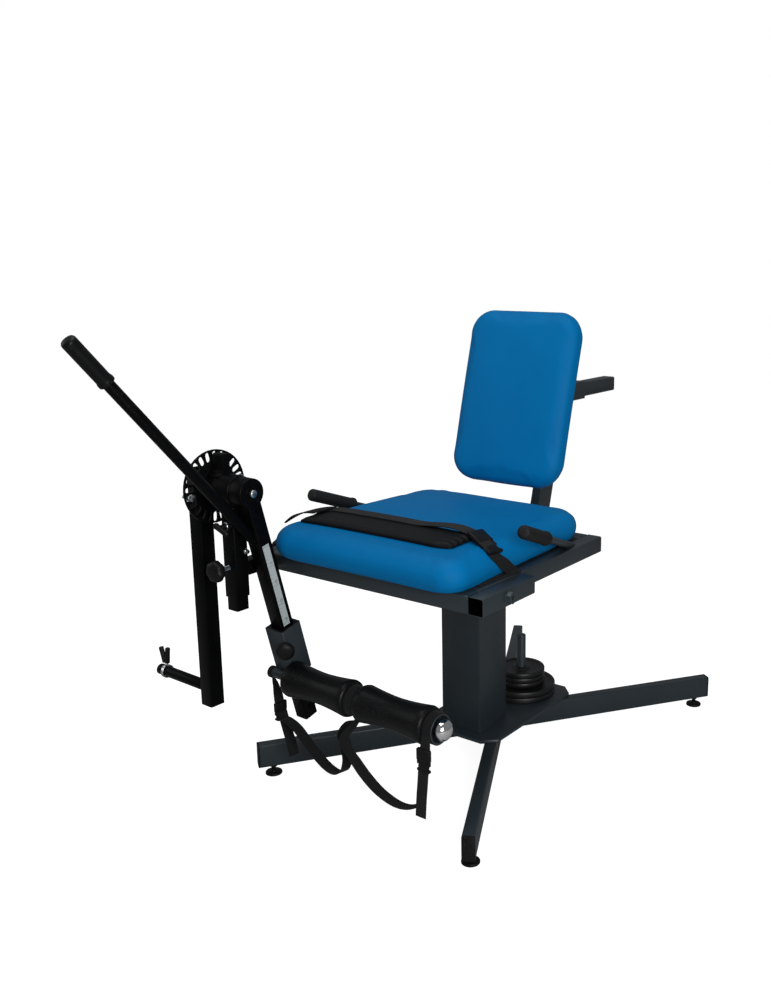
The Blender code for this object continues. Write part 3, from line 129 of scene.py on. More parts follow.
def soft_light(name, spot, target, size, power):
    aim = (Vector(target) - Vector(spot)).to_track_quat('-Z', 'Y').to_euler()
    bpy.ops.object.light_add(type='AREA', location=spot, rotation=aim)
    lamp = bpy.context.object
    lamp.name = name
    lamp.data.shape = 'RECTANGLE'
    lamp.data.size, lamp.data.size_y = size
    lamp.data.energy = power


def set_lights():
    middle = at(0.0, -0.2, 0.5)
    soft_light("lamp_key", at(2.7, -2.3, 1.5), middle, (1.6, 1.6), 88.0)
    soft_light("lamp_top", at(-0.2, -0.6, 3.2), middle, (2.2, 2.2), 40.0)
    soft_light("lamp_left", at(-2.6, -1.6, 1.6), middle, (1.6, 1.6), 8.0)
    world = bpy.data.worlds.new("studio")
    bpy.context.scene.world = world
    world.use_nodes = True
    nodes, links = world.node_tree.nodes, world.node_tree.links
    shade = nodes["Background"]
    set_inputs(shade, Color=(0.93, 0.95, 1.0, 1.0), Strength=0.20)
    white = nodes.new('ShaderNodeBackground')
    set_inputs(white, Color=(1.0, 1.0, 1.0, 1.0), Strength=1.0)
    seen = nodes.new('ShaderNodeLightPath')
    mix = nodes.new('ShaderNodeMixShader')
    links.new(seen.outputs["Is Camera Ray"], mix.inputs["Fac"])
    links.new(shade.outputs["Background"], mix.inputs[1])
    links.new(white.outputs["Background"], mix.inputs[2])
    links.new(mix.outputs["Shader"], nodes["World Output"].inputs["Surface"])


def set_floor():
    bpy.ops.mesh.primitive_plane_add(size=14.0, location=at(0.0, 0.0, 0.0))
    floor = bpy.context.object
    floor.name = "floor"
    surface = bpy.data.materials.new("pale floor")
    surface.use_nodes = True
    nodes, links = surface.node_tree.nodes, surface.node_tree.links
    shader = nodes["Principled BSDF"]
    set_inputs(shader, Base_Color=(0.40, 0.40, 0.40, 1.0), Roughness=0.95, Specular_IOR_Level=0.1,
               Emission_Color=(1.0, 1.0, 1.0, 1.0))
    seen = nodes.new('ShaderNodeLightPath')
    glow = nodes.new('ShaderNodeMath')
    glow.operation = 'MULTIPLY'
    glow.inputs[1].default_value = 0.93
    links.new(seen.outputs["Is Camera Ray"], glow.inputs[0])
    links.new(glow.outputs["Value"], shader.inputs["Emission Strength"])
    floor.data.materials.append(surface)


bpy.context.scene.view_settings.view_transform = 'Standard'
set_camera()
set_lights()
set_floor()


# Surface patterns shared by the finishes

def node_group(name, inputs, outputs):
    tree = bpy.data.node_groups.new(name, 'ShaderNodeTree')
    for label, kind, value in inputs:
        socket = tree.interface.new_socket(name=label, in_out='INPUT', socket_type=kind)
        if value is not None:
            socket.default_value = value
    for label, kind in outputs:
        tree.interface.new_socket(name=label, in_out='OUTPUT', socket_type=kind)
    return tree, tree.nodes.new('NodeGroupInput'), tree.nodes.new('NodeGroupOutput')


def math_node(tree, operation, first, second=None, clamp=False):
    """Math node fed by sockets or numbers; gives its output socket."""
    node = tree.nodes.new('ShaderNodeMath')
    node.operation = operation
    node.use_clamp = clamp
    for index, value in enumerate((first, second)):
        if value is None:
            continue
        if isinstance(value, (int, float)):
            node.inputs[index].default_value = value
        else:
            tree.links.new(value, node.inputs[index])
    return node.outputs["Value"]


def noise_node(tree, vector, scale, detail=2.0, rough=0.5):
    node = tree.nodes.new('ShaderNodeTexNoise')
    set_inputs(node, Detail=detail, Roughness=rough)
    tree.links.new(vector, node.inputs["Vector"])
    if isinstance(scale, (int, float)):
        set_inputs(node, Scale=scale)
    else:
        tree.links.new(scale, node.inputs["Scale"])
    return node.outputs["Fac"]


def make_coat_group():
    """Fine pebble of a sprayed or moulded surface, with broad unevenness and specks of dust."""
    tree, enter, leave = node_group(
        "coat_pattern",
        [("Vector", 'NodeSocketVector', None), ("Pebble Scale", 'NodeSocketFloat', 900.0),
         ("Broad Scale", 'NodeSocketFloat', 7.0)],
        [("Pebble", 'NodeSocketFloat'), ("Broad", 'NodeSocketFloat'), ("Dust", 'NodeSocketFloat')])
    vector = enter.outputs["Vector"]
    pebble = noise_node(tree, vector, enter.outputs["Pebble Scale"], 3.0, 0.6)
    broad = noise_node(tree, vector, enter.outputs["Broad Scale"], 4.0, 0.55)
    specks = noise_node(tree, vector, 420.0, 1.0, 0.4)
    patches = noise_node(tree, vector, 11.0, 3.0, 0.6)
    sharp = math_node(tree, 'MULTIPLY', math_node(tree, 'SUBTRACT', specks, 0.66), 9.0, True)
    where = math_node(tree, 'MULTIPLY', math_node(tree, 'SUBTRACT', patches, 0.46), 5.0, True)
    dust = math_node(tree, 'MULTIPLY', sharp, where, True)
    tree.links.new(pebble, leave.inputs["Pebble"])
    tree.links.new(broad, leave.inputs["Broad"])
    tree.links.new(dust, leave.inputs["Dust"])
    return tree


def make_leather_group():
    """Small rounded cells of imitation leather, stretched unevenly, with faint creases."""
    tree, enter, leave = node_group(
        "leather_pattern",
        [("Vector", 'NodeSocketVector', None), ("Cell Scale", 'NodeSocketFloat', 620.0)],
        [("Height", 'NodeSocketFloat'), ("Tone", 'NodeSocketFloat')])
    vector = enter.outputs["Vector"]
    warp = tree.nodes.new('ShaderNodeTexNoise')
    set_inputs(warp, Scale=240.0)
    tree.links.new(vector, warp.inputs["Vector"])
    mix = tree.nodes.new('ShaderNodeMix')
    mix.data_type = 'VECTOR'
    set_inputs(mix, Factor=0.004)
    tree.links.new(vector, mix.inputs[4])
    tree.links.new(warp.outputs["Color"], mix.inputs[5])
    cells = tree.nodes.new('ShaderNodeTexVoronoi')
    cells.feature = 'DISTANCE_TO_EDGE'
    tree.links.new(mix.outputs[1], cells.inputs["Vector"])
    tree.links.new(enter.outputs["Cell Scale"], cells.inputs["Scale"])
    rounded = math_node(tree, 'POWER', math_node(tree, 'MULTIPLY', cells.outputs["Distance"], 2.4, True), 0.5)
    fine = noise_node(tree, vector, 2300.0, 2.0, 0.5)
    height = math_node(tree, 'ADD', rounded, math_node(tree, 'MULTIPLY', fine, 0.25))
    tone = noise_node(tree, vector, 9.0, 4.0, 0.5)
    tree.links.new(height, leave.inputs["Height"])
    tree.links.new(tone, leave.inputs["Tone"])
    return tree


def make_weave_group():
    """Plain weave of flat threads, read along and across a strap in metres."""
    tree, enter, leave = node_group(
        "weave_pattern",
        [("Vector", 'NodeSocketVector', None), ("Thread", 'NodeSocketFloat', 0.0016)],
        [("Height", 'NodeSocketFloat'), ("Tone", 'NodeSocketFloat')])
    vector, thread = enter.outputs["Vector"], enter.outputs["Thread"]
    split = tree.nodes.new('ShaderNodeSeparateXYZ')
    tree.links.new(vector, split.inputs["Vector"])
    across = math_node(tree, 'DIVIDE', split.outputs["X"], thread)
    along = math_node(tree, 'DIVIDE', split.outputs["Y"], thread)
    ribs = math_node(tree, 'ABSOLUTE', math_node(tree, 'SINE', math_node(tree, 'MULTIPLY', across, math.pi)))
    step = math_node(tree, 'MODULO', math_node(tree, 'FLOOR', math_node(tree, 'ABSOLUTE', across)), 2.0)
    shifted = math_node(tree, 'ADD', along, math_node(tree, 'MULTIPLY', step, 0.5))
    picks = math_node(tree, 'ABSOLUTE', math_node(tree, 'SINE', math_node(tree, 'MULTIPLY', shifted, math.pi)))
    height = math_node(tree, 'MULTIPLY', ribs, math_node(tree, 'ADD', math_node(tree, 'MULTIPLY', picks, 0.6), 0.4))
    fuzz = math_node(tree, 'MULTIPLY', noise_node(tree, vector, 2600.0, 2.0, 0.6), 0.3)
    tree.links.new(math_node(tree, 'ADD', height, fuzz), leave.inputs["Height"])
    tree.links.new(noise_node(tree, vector, 60.0, 3.0, 0.5), leave.inputs["Tone"])
    return tree


COAT = make_coat_group()
LEATHER = make_leather_group()
WEAVE = make_weave_group()


def blank_material(name, colour, roughness, metallic):
    surface = bpy.data.materials.new(name)
    surface.use_nodes = True
    shader = surface.node_tree.nodes["Principled BSDF"]
    set_inputs(shader, Base_Color=(*colour, 1.0), Roughness=roughness, Metallic=metallic)
    surface.diffuse_color = (*colour, 1.0)
    return surface, surface.node_tree, shader


def place_group(tree, group, vector, **values):
    node = tree.nodes.new('ShaderNodeGroup')
    node.node_tree = group
    tree.links.new(vector, node.inputs["Vector"])
    set_inputs(node, **values)
    return node


def blend_colours(tree, factor, first, second):
    node = tree.nodes.new('ShaderNodeMix')
    node.data_type = 'RGBA'
    tree.links.new(factor, node.inputs["Factor"])
    for socket, value in ((node.inputs[6], first), (node.inputs[7], second)):
        if isinstance(value, tuple):
            socket.default_value = (*value, 1.0)
        else:
            tree.links.new(value, socket)
    return node.outputs[2]


def spread(tree, value, low, high):
    node = tree.nodes.new('ShaderNodeMapRange')
    set_inputs(node, From_Min=0.3, From_Max=0.7, To_Min=low, To_Max=high)
    tree.links.new(value, node.inputs["Value"])
    return node.outputs["Result"]


def bump(tree, shader, height, depth):
    node = tree.nodes.new('ShaderNodeBump')
    set_inputs(node, Strength=1.0, Distance=depth)
    tree.links.new(height, node.inputs["Height"])
    tree.links.new(node.outputs["Normal"], shader.inputs["Normal"])


def coat_material(name, colour, light, roughness, metallic=0.0, pebble=900.0, depth=0.00004, dust=0.25, gloss=0.5):
    """Paint, plastic, rubber or metal with a pebbled surface and uneven sheen."""
    surface, tree, shader = blank_material(name, colour, roughness[0], metallic)
    where = tree.nodes.new('ShaderNodeTexCoord').outputs["Object"]
    pattern = place_group(tree, COAT, where, Pebble_Scale=pebble, Broad_Scale=7.0)
    tone = spread(tree, pattern.outputs["Broad"], 0.0, 1.0)
    base = blend_colours(tree, tone, colour, light)
    dusty = math_node(tree, 'MULTIPLY', pattern.outputs["Dust"], dust)
    tree.links.new(blend_colours(tree, dusty, base, (0.35, 0.34, 0.32)), shader.inputs["Base Color"])
    tree.links.new(spread(tree, pattern.outputs["Broad"], roughness[0], roughness[1]), shader.inputs["Roughness"])
    set_inputs(shader, Specular_IOR_Level=gloss)
    bump(tree, shader, pattern.outputs["Pebble"], depth)
    return surface


def leather_material(name, colour, light, cells, gloss):
    surface, tree, shader = blank_material(name, colour, 0.5, 0.0)
    where = tree.nodes.new('ShaderNodeTexCoord').outputs["Object"]
    pattern = place_group(tree, LEATHER, where, Cell_Scale=cells)
    tone = spread(tree, pattern.outputs["Tone"], 0.0, 1.0)
    tree.links.new(blend_colours(tree, tone, colour, light), shader.inputs["Base Color"])
    tree.links.new(spread(tree, pattern.outputs["Tone"], 0.46, 0.56), shader.inputs["Roughness"])
    set_inputs(shader, Specular_IOR_Level=gloss)
    bump(tree, shader, pattern.outputs["Height"], 0.00010)
    return surface


def weave_material(name, colour, light):
    surface, tree, shader = blank_material(name, colour, 0.85, 0.0)
    where = tree.nodes.new('ShaderNodeUVMap').outputs["UV"]
    pattern = place_group(tree, WEAVE, where, Thread=0.0016)
    # Painted shade in the weave: the grooves between threads keep the dark colour and the thread crowns get the
    # lighter one, scaled by random tone
    tone = math_node(tree, 'MULTIPLY', pattern.outputs["Height"], pattern.outputs["Tone"], True)
    tree.links.new(blend_colours(tree, tone, colour, light), shader.inputs["Base Color"])
    tree.links.new(spread(tree, pattern.outputs["Tone"], 0.74, 0.9), shader.inputs["Roughness"])
    set_inputs(shader, Sheen_Weight=0.04, Specular_IOR_Level=0.20)
    bump(tree, shader, pattern.outputs["Height"], 0.00030)
    return surface


ANTHRACITE = coat_material("anthracite powder coat", (0.0160, 0.0235, 0.0285), (0.0190, 0.0275, 0.0330),
                           (0.36, 0.44), 0.0, 1300.0, 0.00003, 0.12, gloss=0.40)
BLACK_COAT = coat_material("black powder coat", (0.0015, 0.0016, 0.0019), (0.0024, 0.0025, 0.0028), (0.30, 0.40),
                           0.0, 1300.0, 0.00003, 0.12, gloss=0.06)
BLACK_PLASTIC = coat_material("black moulded plastic", (0.0032, 0.0032, 0.0036), (0.0048, 0.0048, 0.0052),
                              (0.42, 0.55), 0.0, 1900.0, 0.00005, 0.15, gloss=0.18)
BLACK_RUBBER = coat_material("black grip rubber", (0.0060, 0.0062, 0.0068), (0.0085, 0.0088, 0.0095), (0.60, 0.74),
                             0.0, 1500.0, 0.00006, 0.2, gloss=0.22)
BLACK_FOAM = coat_material("black skinned foam", (0.0036, 0.0038, 0.0042), (0.0052, 0.0054, 0.0058), (0.30, 0.40),
                           0.0, 700.0, 0.00007, 0.15, gloss=0.13)
CAST_IRON = coat_material("black cast iron enamel", (0.0045, 0.0047, 0.0052), (0.0075, 0.0077, 0.0082),
                          (0.34, 0.5), 0.0, 420.0, 0.00022, 0.2, gloss=0.32)
ZINC = coat_material("bright zinc", (0.42, 0.47, 0.50), (0.55, 0.58, 0.56), (0.24, 0.36), 1.0, 1500.0, 0.00002,
                     0.05)
CHROME = coat_material("polished chrome", (0.80, 0.80, 0.79), (0.84, 0.84, 0.83), (0.05, 0.08), 1.0, 300.0,
                       0.000004, 0.0)
BLUE_VINYL = leather_material("blue imitation leather", (0.0, 0.124, 0.325), (0.0, 0.136, 0.350), 620.0, 0.06)
STRAP_VINYL = leather_material("black imitation leather", (0.0036, 0.0038, 0.0044), (0.0056, 0.0058, 0.0064), 700.0,
                               0.11)
WEBBING = weave_material("black webbing", (0.0030, 0.0031, 0.0034), (0.0085, 0.0088, 0.0092))
PLYWOOD = coat_material("birch plywood", (0.42, 0.27, 0.14), (0.52, 0.35, 0.20), (0.6, 0.75), 0.0, 500.0, 0.0001)
# Flat black for painted shade: the liner in the receiver's open bore and the discs in the lever's holes
PAINTED_SHADE_BLACK = coat_material("painted hole shade", (0.0006, 0.0006, 0.0006), (0.0008, 0.0008, 0.0008), (0.9, 0.95), gloss=0.0)
RULER_WHITE = coat_material("ruler enamel", (0.37, 0.42, 0.43), (0.41, 0.46, 0.47), (0.38, 0.48), 0.0, 900.0,
                            0.00001, 0.1)
RULER_INK = coat_material("ruler ink", (0.012, 0.012, 0.013), (0.02, 0.02, 0.021), (0.5, 0.6), 0.0, 900.0,
                          0.00001, 0.0)


# Shaping tools

def start_edit():
    bpy.ops.object.mode_set(mode='EDIT')
    bpy.ops.mesh.select_all(action='SELECT')


def end_edit():
    bpy.ops.object.mode_set(mode='OBJECT')


def apply_place():
    bpy.ops.object.transform_apply(location=True, rotation=True, scale=True)


def apply_all(piece):
    make_active(piece)
    for step in list(piece.modifiers):
        bpy.ops.object.modifier_apply(modifier=step.name)


def settle(piece, name, place=None, angle=35.0):
    """Name a finished shape, put its place into its mesh and smooth its round faces."""
    select_only(piece)
    piece.name = name
    piece.data.name = name
    if place is not None:
        piece.matrix_world = place @ piece.matrix_world
    apply_place()
    bpy.ops.object.shade_smooth_by_angle(angle=math.radians(angle))
    piece.select_set(False)
    return piece


def dress(piece, material, slot, body, *nodes):
    """Give a piece its finish, its body and the CAD nodes that it stands for."""
    piece.data.materials.clear()
    piece.data.materials.append(material)
    if body in ARM_BODIES:
        piece.data.transform(ARM_SET)
    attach(piece, body)
    if nodes:
        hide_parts(*nodes)
    return piece


def lathe(name, profile, place, steps=64, ring=False, angle=35.0):
    """Grow a circle along its axis through rings of (radius, height)."""
    radius, height = profile[0]
    bpy.ops.mesh.primitive_circle_add(vertices=steps, radius=radius, location=(0.0, 0.0, 0.0))
    piece = bpy.context.object
    start_edit()
    bpy.ops.transform.translate(value=(0.0, 0.0, height))
    for wide, high in profile[1:]:
        bpy.ops.mesh.extrude_edges_move(TRANSFORM_OT_translate={"value": (0.0, 0.0, high - height)})
        if abs(wide - radius) > 1e-9:
            factor = wide / radius
            bpy.ops.transform.resize(value=(factor, factor, 1.0), center_override=(0.0, 0.0, high))
        radius, height = wide, high
    bpy.ops.mesh.select_all(action='SELECT')
    if ring:
        bpy.ops.mesh.remove_doubles(threshold=1e-6)
    else:
        bpy.ops.mesh.fill_holes(sides=0)
    bpy.ops.mesh.select_all(action='SELECT')
    bpy.ops.mesh.normals_make_consistent(inside=False)
    end_edit()
    return settle(piece, name, place, angle)


def rounded(radius, low, high, edge=0.001):
    """Profile of a plain round bar with eased ends."""
    return [(radius - edge, low), (radius - edge * 0.3, low + edge * 0.3), (radius, low + edge),
            (radius, high - edge), (radius - edge * 0.3, high - edge * 0.3), (radius - edge, high)]


def cube(size, height=0.0):
    """Plain block to work on, given by its whole size, with its middle at a height."""
    bpy.ops.mesh.primitive_cube_add(size=1.0, location=(0.0, 0.0, height))
    piece = bpy.context.object
    piece.scale = size
    apply_place()
    return piece


def box_piece(name, size, place, edge=0.001, steps=2):
    """Box with eased edges, given by its whole size, centred on its place."""
    piece = cube(size)
    start_edit()
    bpy.ops.mesh.bevel(offset=edge, segments=steps, affect='EDGES')
    end_edit()
    return settle(piece, name, place)


def wire(name, points, radius):
    """Round bar along points, from a curve turned into a mesh."""
    data = bpy.data.curves.new(name, 'CURVE')
    data.dimensions = '3D'
    data.bevel_depth = radius
    data.bevel_resolution = 4
    data.use_fill_caps = True
    line = data.splines.new('POLY')
    line.points.add(len(points) - 1)
    for index, point in enumerate(points):
        line.points[index].co = (*point, 1.0)
    piece = bpy.data.objects.new(name, data)
    bpy.context.collection.objects.link(piece)
    select_only(piece)
    bpy.ops.object.convert(target='MESH')
    piece = bpy.context.object
    start_edit()
    bpy.ops.mesh.remove_doubles(threshold=1e-6)
    bpy.ops.mesh.normals_make_consistent(inside=False)
    end_edit()
    return settle(piece, name, None, 50.0)


def joined(name, *pieces):
    """Several shapes as one piece."""
    bpy.ops.object.select_all(action='DESELECT')
    for piece in pieces:
        piece.select_set(True)
    make_active(pieces[0])
    bpy.ops.object.join()
    pieces[0].name = name
    pieces[0].data.name = name
    pieces[0].select_set(False)
    return pieces[0]


def hex_head(name, flat, low, high, place):
    """Hexagon head with chamfered corners."""
    bpy.ops.mesh.primitive_cylinder_add(vertices=6, radius=flat / math.sqrt(3.0), depth=high - low,
                                        location=(0.0, 0.0, (low + high) / 2))
    piece = bpy.context.object
    apply_place()
    start_edit()
    bpy.ops.mesh.bevel(offset=flat * 0.05, segments=2, affect='EDGES')
    end_edit()
    return settle(piece, name, place)


def smooth_path(stations, parts):
    """Denser stations of (point, across, width) on a smooth curve through the given ones."""
    result = []
    last = len(stations) - 1
    for index in range(last):
        group = [stations[min(max(index + step, 0), last)] for step in (-1, 0, 1, 2)]
        for part in range(parts):
            t = part / parts
            weights = (-0.5 * t + t * t - 0.5 * t ** 3, 1.0 - 2.5 * t * t + 1.5 * t ** 3,
                       0.5 * t + 2.0 * t * t - 1.5 * t ** 3, -0.5 * t * t + 0.5 * t ** 3)
            point = sum((Vector(item[0]) * weight for item, weight in zip(group, weights)), Vector())
            first, second = group[1], group[2]
            across = Vector(first[1]).lerp(Vector(second[1]), t).normalized()
            result.append((point, across, first[2] * (1.0 - t) + second[2] * t))
    result.append((Vector(stations[-1][0]), Vector(stations[-1][1]).normalized(), stations[-1][2]))
    return result


def webbing(name, stations, thick, columns=6, parts=6):
    """Woven band laid along stations, with its own thickness and a UV map in metres."""
    path = smooth_path(stations, parts)
    mesh = bpy.data.meshes.new(name)
    points, faces, marks = [], [], []
    run = 0.0
    for index, (point, across, width) in enumerate(path):
        if index:
            run += (point - path[index - 1][0]).length
        for column in range(columns + 1):
            share = column / columns * 2.0 - 1.0
            points.append(point + across * share * width / 2)
            marks.append((share * width / 2 + 0.5, run))
    stride = columns + 1
    for index in range(len(path) - 1):
        for column in range(columns):
            first = index * stride + column
            faces.append((first, first + 1, first + 1 + stride, first + stride))
    mesh.from_pydata(points, [], faces)
    layer = mesh.uv_layers.new(name="strap")
    for loop in mesh.loops:
        layer.data[loop.index].uv = marks[loop.vertex_index]
    piece = bpy.data.objects.new(name, mesh)
    bpy.context.collection.objects.link(piece)
    make_active(piece)
    wall = piece.modifiers.new("thickness", 'SOLIDIFY')
    wall.thickness = thick
    wall.offset = 0.0
    apply_all(piece)
    return settle(piece, name, None, 40.0)


# The steel of the frame keeps its CAD shape and gets fine rounded edges

def finish_node(name, material, edge=0.0006):
    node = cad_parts[name]
    node.data.materials.clear()
    node.data.materials.append(material)
    node.data.polygons.foreach_set("use_smooth", [True] * len(node.data.polygons))
    weld = node.modifiers.new("weld", 'WELD')
    weld.merge_threshold = 0.00002
    ease = node.modifiers.new("eased edges", 'BEVEL')
    ease.width = edge
    ease.segments = 2
    ease.limit_method = 'ANGLE'
    ease.angle_limit = math.radians(38.0)
    ease.harden_normals = True


for plain in ("leg_long", "leg_half_front", "leg_half_back", "base_plate", "column", "front_beam", "side_rail_left",
              "side_rail_right", "rear_beam", "cross_tube_front", "cross_tube_rear", "back_carrier",
              "receiver_left", "receiver_right", "back_post", "back_sleeve", "back_slide", "shin_slide",
              "grip_rod_left", "grip_rod_right"):
    finish_node(plain, ANTHRACITE)
for plain in ("arm_carrier", "arm_post", "range_disc", "leg_lever", "hand_lever", "weight_arm"):
    finish_node(plain, BLACK_COAT, 0.0004)
for plain in ("leg_cap_1", "leg_cap_2", "leg_cap_3", "leg_cap_4", "slide_liner", "height_plunger"):
    finish_node(plain, BLACK_PLASTIC)
finish_node("seat_board", PLYWOOD)
finish_node("stop_bolt", ZINC, 0.0003)


# Cushions: a rounded block of foam, blown up against its cover by a cloth simulation

CLOTH_FRAMES = 20
FOAM_VOXEL = 0.0055


def bevel_edges(piece, offset, segments, wanted):
    """Round off the edges that a test on their two ends picks out."""
    bpy.ops.mesh.select_all(action='DESELECT')
    shape = bmesh.from_edit_mesh(piece.data)
    for edge in shape.edges:
        edge.select = wanted(edge.verts[0].co, edge.verts[1].co)
    bmesh.update_edit_mesh(piece.data)
    bpy.ops.mesh.bevel(offset=offset, segments=segments, affect='EDGES')


def foam_block(name, half_front, half_back, half_y, thick, corners, shoulder, tuck, shrink):
    """Rounded block standing on its place; a shrink below nothing allows for what the cover draws in."""
    corner_left, corner_right, corner_back = corners
    piece = cube((2 * (half_front - shrink), 2 * (half_y - shrink), thick), thick / 2)
    start_edit()
    bpy.ops.mesh.select_mode(type='EDGE')
    edge_x, edge_y = half_front - shrink - 0.001, half_y - shrink - 0.001
    bevel_edges(piece, corner_left - shrink, 12, lambda a, b: max(a.x, b.x) < -edge_x and max(a.y, b.y) < -edge_y)
    bevel_edges(piece, corner_right - shrink, 12, lambda a, b: min(a.x, b.x) > edge_x and max(a.y, b.y) < -edge_y)
    bevel_edges(piece, corner_back - shrink, 12, lambda a, b: min(a.y, b.y) > edge_y and abs(a.z - b.z) > thick / 2)
    bevel_edges(piece, shoulder, 8, lambda a, b: min(a.z, b.z) > thick * 0.99)
    bevel_edges(piece, tuck, 4, lambda a, b: max(a.z, b.z) < thick * 0.01)
    end_edit()
    for vertex in piece.data.vertices:
        share = (vertex.co.y + half_y) / (2 * half_y)
        vertex.co.x *= 1.0 + (half_back / half_front - 1.0) * share
    remesh = piece.modifiers.new("voxels", 'REMESH')
    remesh.mode = 'VOXEL'
    remesh.voxel_size = FOAM_VOXEL
    apply_all(piece)
    piece.name = name
    return piece


def inflate(piece, thick, cap):
    """Blow the cover up, hold its underside and let no point move further than the cap."""
    begin = [vertex.co.copy() for vertex in piece.data.vertices]
    held = piece.vertex_groups.new(name="underside")
    held.add([index for index, point in enumerate(begin) if point.z < thick * 0.06], 1.0, 'REPLACE')
    cloth = piece.modifiers.new("cover", 'CLOTH')
    cloth.settings.use_pressure = True
    cloth.settings.uniform_pressure_force = 4.0
    cloth.settings.effector_weights.gravity = 0.0
    cloth.settings.vertex_group_mass = "underside"
    cloth.settings.quality = 5
    cloth.settings.tension_stiffness = 12.0
    cloth.settings.compression_stiffness = 12.0
    cloth.settings.bending_stiffness = 2.0
    cloth.point_cache.frame_start = 1
    cloth.point_cache.frame_end = CLOTH_FRAMES
    scene = bpy.context.scene
    for step in range(1, CLOTH_FRAMES + 1):
        scene.frame_set(step)
    depsgraph = bpy.context.evaluated_depsgraph_get()
    shape = piece.evaluated_get(depsgraph).to_mesh()
    moved = [vertex.co.copy() for vertex in shape.vertices]
    piece.evaluated_get(depsgraph).to_mesh_clear()
    piece.modifiers.clear()
    for vertex, old, new in zip(piece.data.vertices, begin, moved):
        step = new - old
        if step.length > cap:
            step = step.normalized() * cap
        vertex.co = old + step
    piece.vertex_groups.clear()
    scene.frame_set(1)


def refine(piece):
    finer = piece.modifiers.new("finer", 'SUBSURF')
    finer.levels = 1
    finer.render_levels = 1
    apply_all(piece)


def cushion(name, block, half_x, half_y, thick, crown, place, cap, node, body, fall=0.0):
    """Upholstered cushion with a crowned top, which falls off towards its back if asked."""
    piece = foam_block(name, *block)
    inflate(piece, thick, cap)
    soft = piece.modifiers.new("soften", 'SMOOTH')
    soft.iterations = 6
    soft.factor = 0.5
    apply_all(piece)
    for vertex in piece.data.vertices:
        across = min(abs(vertex.co.x) / half_x, 1.0)
        along = min(abs(vertex.co.y) / half_y, 1.0)
        lift = crown * (1.0 - across ** 3) * (1.0 - along ** 3)
        vertex.co.z += lift * min(max(vertex.co.z / thick, 0.0), 1.0) ** 2
        vertex.co.z *= 1.0 - fall * max(vertex.co.y / half_y, 0.0)
    refine(piece)
    settle(piece, name, place, 80.0)
    dress(piece, BLUE_VINYL, "blue_vinyl", body, node)
    return piece


SEAT_HALF_FRONT, SEAT_HALF_BACK = 0.277, 0.246
SEAT_FRONT, SEAT_BACK, SEAT_THICK = -0.560, 0.028, 0.068
seat_half_y = (SEAT_BACK - SEAT_FRONT) / 2
seat = cushion("seat_upholstery",
               (SEAT_HALF_FRONT, SEAT_HALF_BACK, seat_half_y, 0.066, (0.078, 0.056, 0.080), 0.036, 0.027,
                -0.0055),
               SEAT_HALF_FRONT, seat_half_y, SEAT_THICK, 0.009,
               Matrix.Translation(at(0.0, (SEAT_FRONT + SEAT_BACK) / 2, FRAME_TOP + 0.0003)), 0.0035,
               "seat_cushion", "frame", 0.05)

BACK_HALF, BACK_HALF_HIGH, BACK_THICK = 0.1655, 0.226, 0.044
BACK_UP = Vector((0.0, math.sin(BACK_LEAN), math.cos(BACK_LEAN)))
BACK_FORWARD = Vector((0.0, -math.cos(BACK_LEAN), math.sin(BACK_LEAN)))
BACK_REAR = at(0.0, -0.013, 0.710) - BACK_FORWARD * 0.052
cushion("back_upholstery",
        (BACK_HALF, BACK_HALF, BACK_HALF_HIGH, 0.041, (0.068, 0.068, 0.068), 0.021, 0.008, -0.004),
        BACK_HALF, BACK_HALF_HIGH, BACK_THICK, 0.007,
        basis(BACK_REAR + BACK_UP * BACK_HALF_HIGH, BACK_FORWARD, X_AXIS), 0.005, "back_cushion", "backrest")

# Board behind the back cushion and the spacer that carries it on the slide's plate
PLATE_GAP = 0.0708
plate_middle = BACK_REAR + BACK_UP * ((0.908 - BACK_REAR.z) / math.cos(BACK_LEAN))
board = box_piece("back_board", (0.256, 0.376, 0.010),
                  basis(BACK_REAR + BACK_UP * BACK_HALF_HIGH - BACK_FORWARD * 0.0048, BACK_FORWARD, X_AXIS), 0.002, 2)
dress(board, PLYWOOD, "plywood", "backrest")
spacer = []
for side in (-1, 1):
    centre = plate_middle + X_AXIS * side * 0.058 - BACK_FORWARD * (PLATE_GAP + 0.0098) / 2
    place = basis(centre, BACK_FORWARD, X_AXIS)
    spacer.append(box_piece("a", (0.030, 0.200, PLATE_GAP - 0.0100), place, 0.0022, 3))
dress(joined("back_spacer", *spacer), ANTHRACITE, "anthracite", "backrest")


# Painted shade: a black liner inside the receiver that stands open, in place of the shade in its bore
RECEIVER_X, RECEIVER_Y, RECEIVER_Z, RECEIVER_BORE = 0.3023, -0.524, 0.578, 0.036
across = math.sqrt(0.5) * RECEIVER_BORE
bore = [(across - 0.0008, 0.0006), (across - 0.0001, 0.0006), (across - 0.0001, 0.1200), (across - 0.0008, 0.1200),
        (across - 0.0008, 0.0006)]
place = basis(at(RECEIVER_X, RECEIVER_Y, RECEIVER_Z), Y_AXIS, X_AXIS + Z_AXIS)
dress(lathe("receiver_bore_shade", bore, place, 4, True), PAINTED_SHADE_BLACK, "black_paint", "frame")


# Ankle slings

ALONG_X = Matrix(((0, 0, 1, CROSSING.x), (1, 0, 0, AXLE.y), (0, 1, 0, AXLE.z), (0, 0, 0, 1)))


def ankle(x, forward, drop, turn, width=0.028):
    angle = math.radians(turn)
    return (Vector((x + CROSSING.x, AXLE.y - forward, AXLE.z - drop)),
            Vector((math.cos(angle), math.sin(angle), 0.0)), width)


def ankle_path(start, *stations):
    """Stations counted along the axle from one place on it."""
    return [ankle(start + x, *rest) for x, *rest in stations]


def loop_round(name, radius, low, high, thick):
    """Turn of webbing sewn round the axle, between two places on it."""
    outer = radius + thick
    return lathe(name, [(radius, low), (outer, low), (outer, high), (radius, high), (radius, low)], ALONG_X, 48,
                 True)


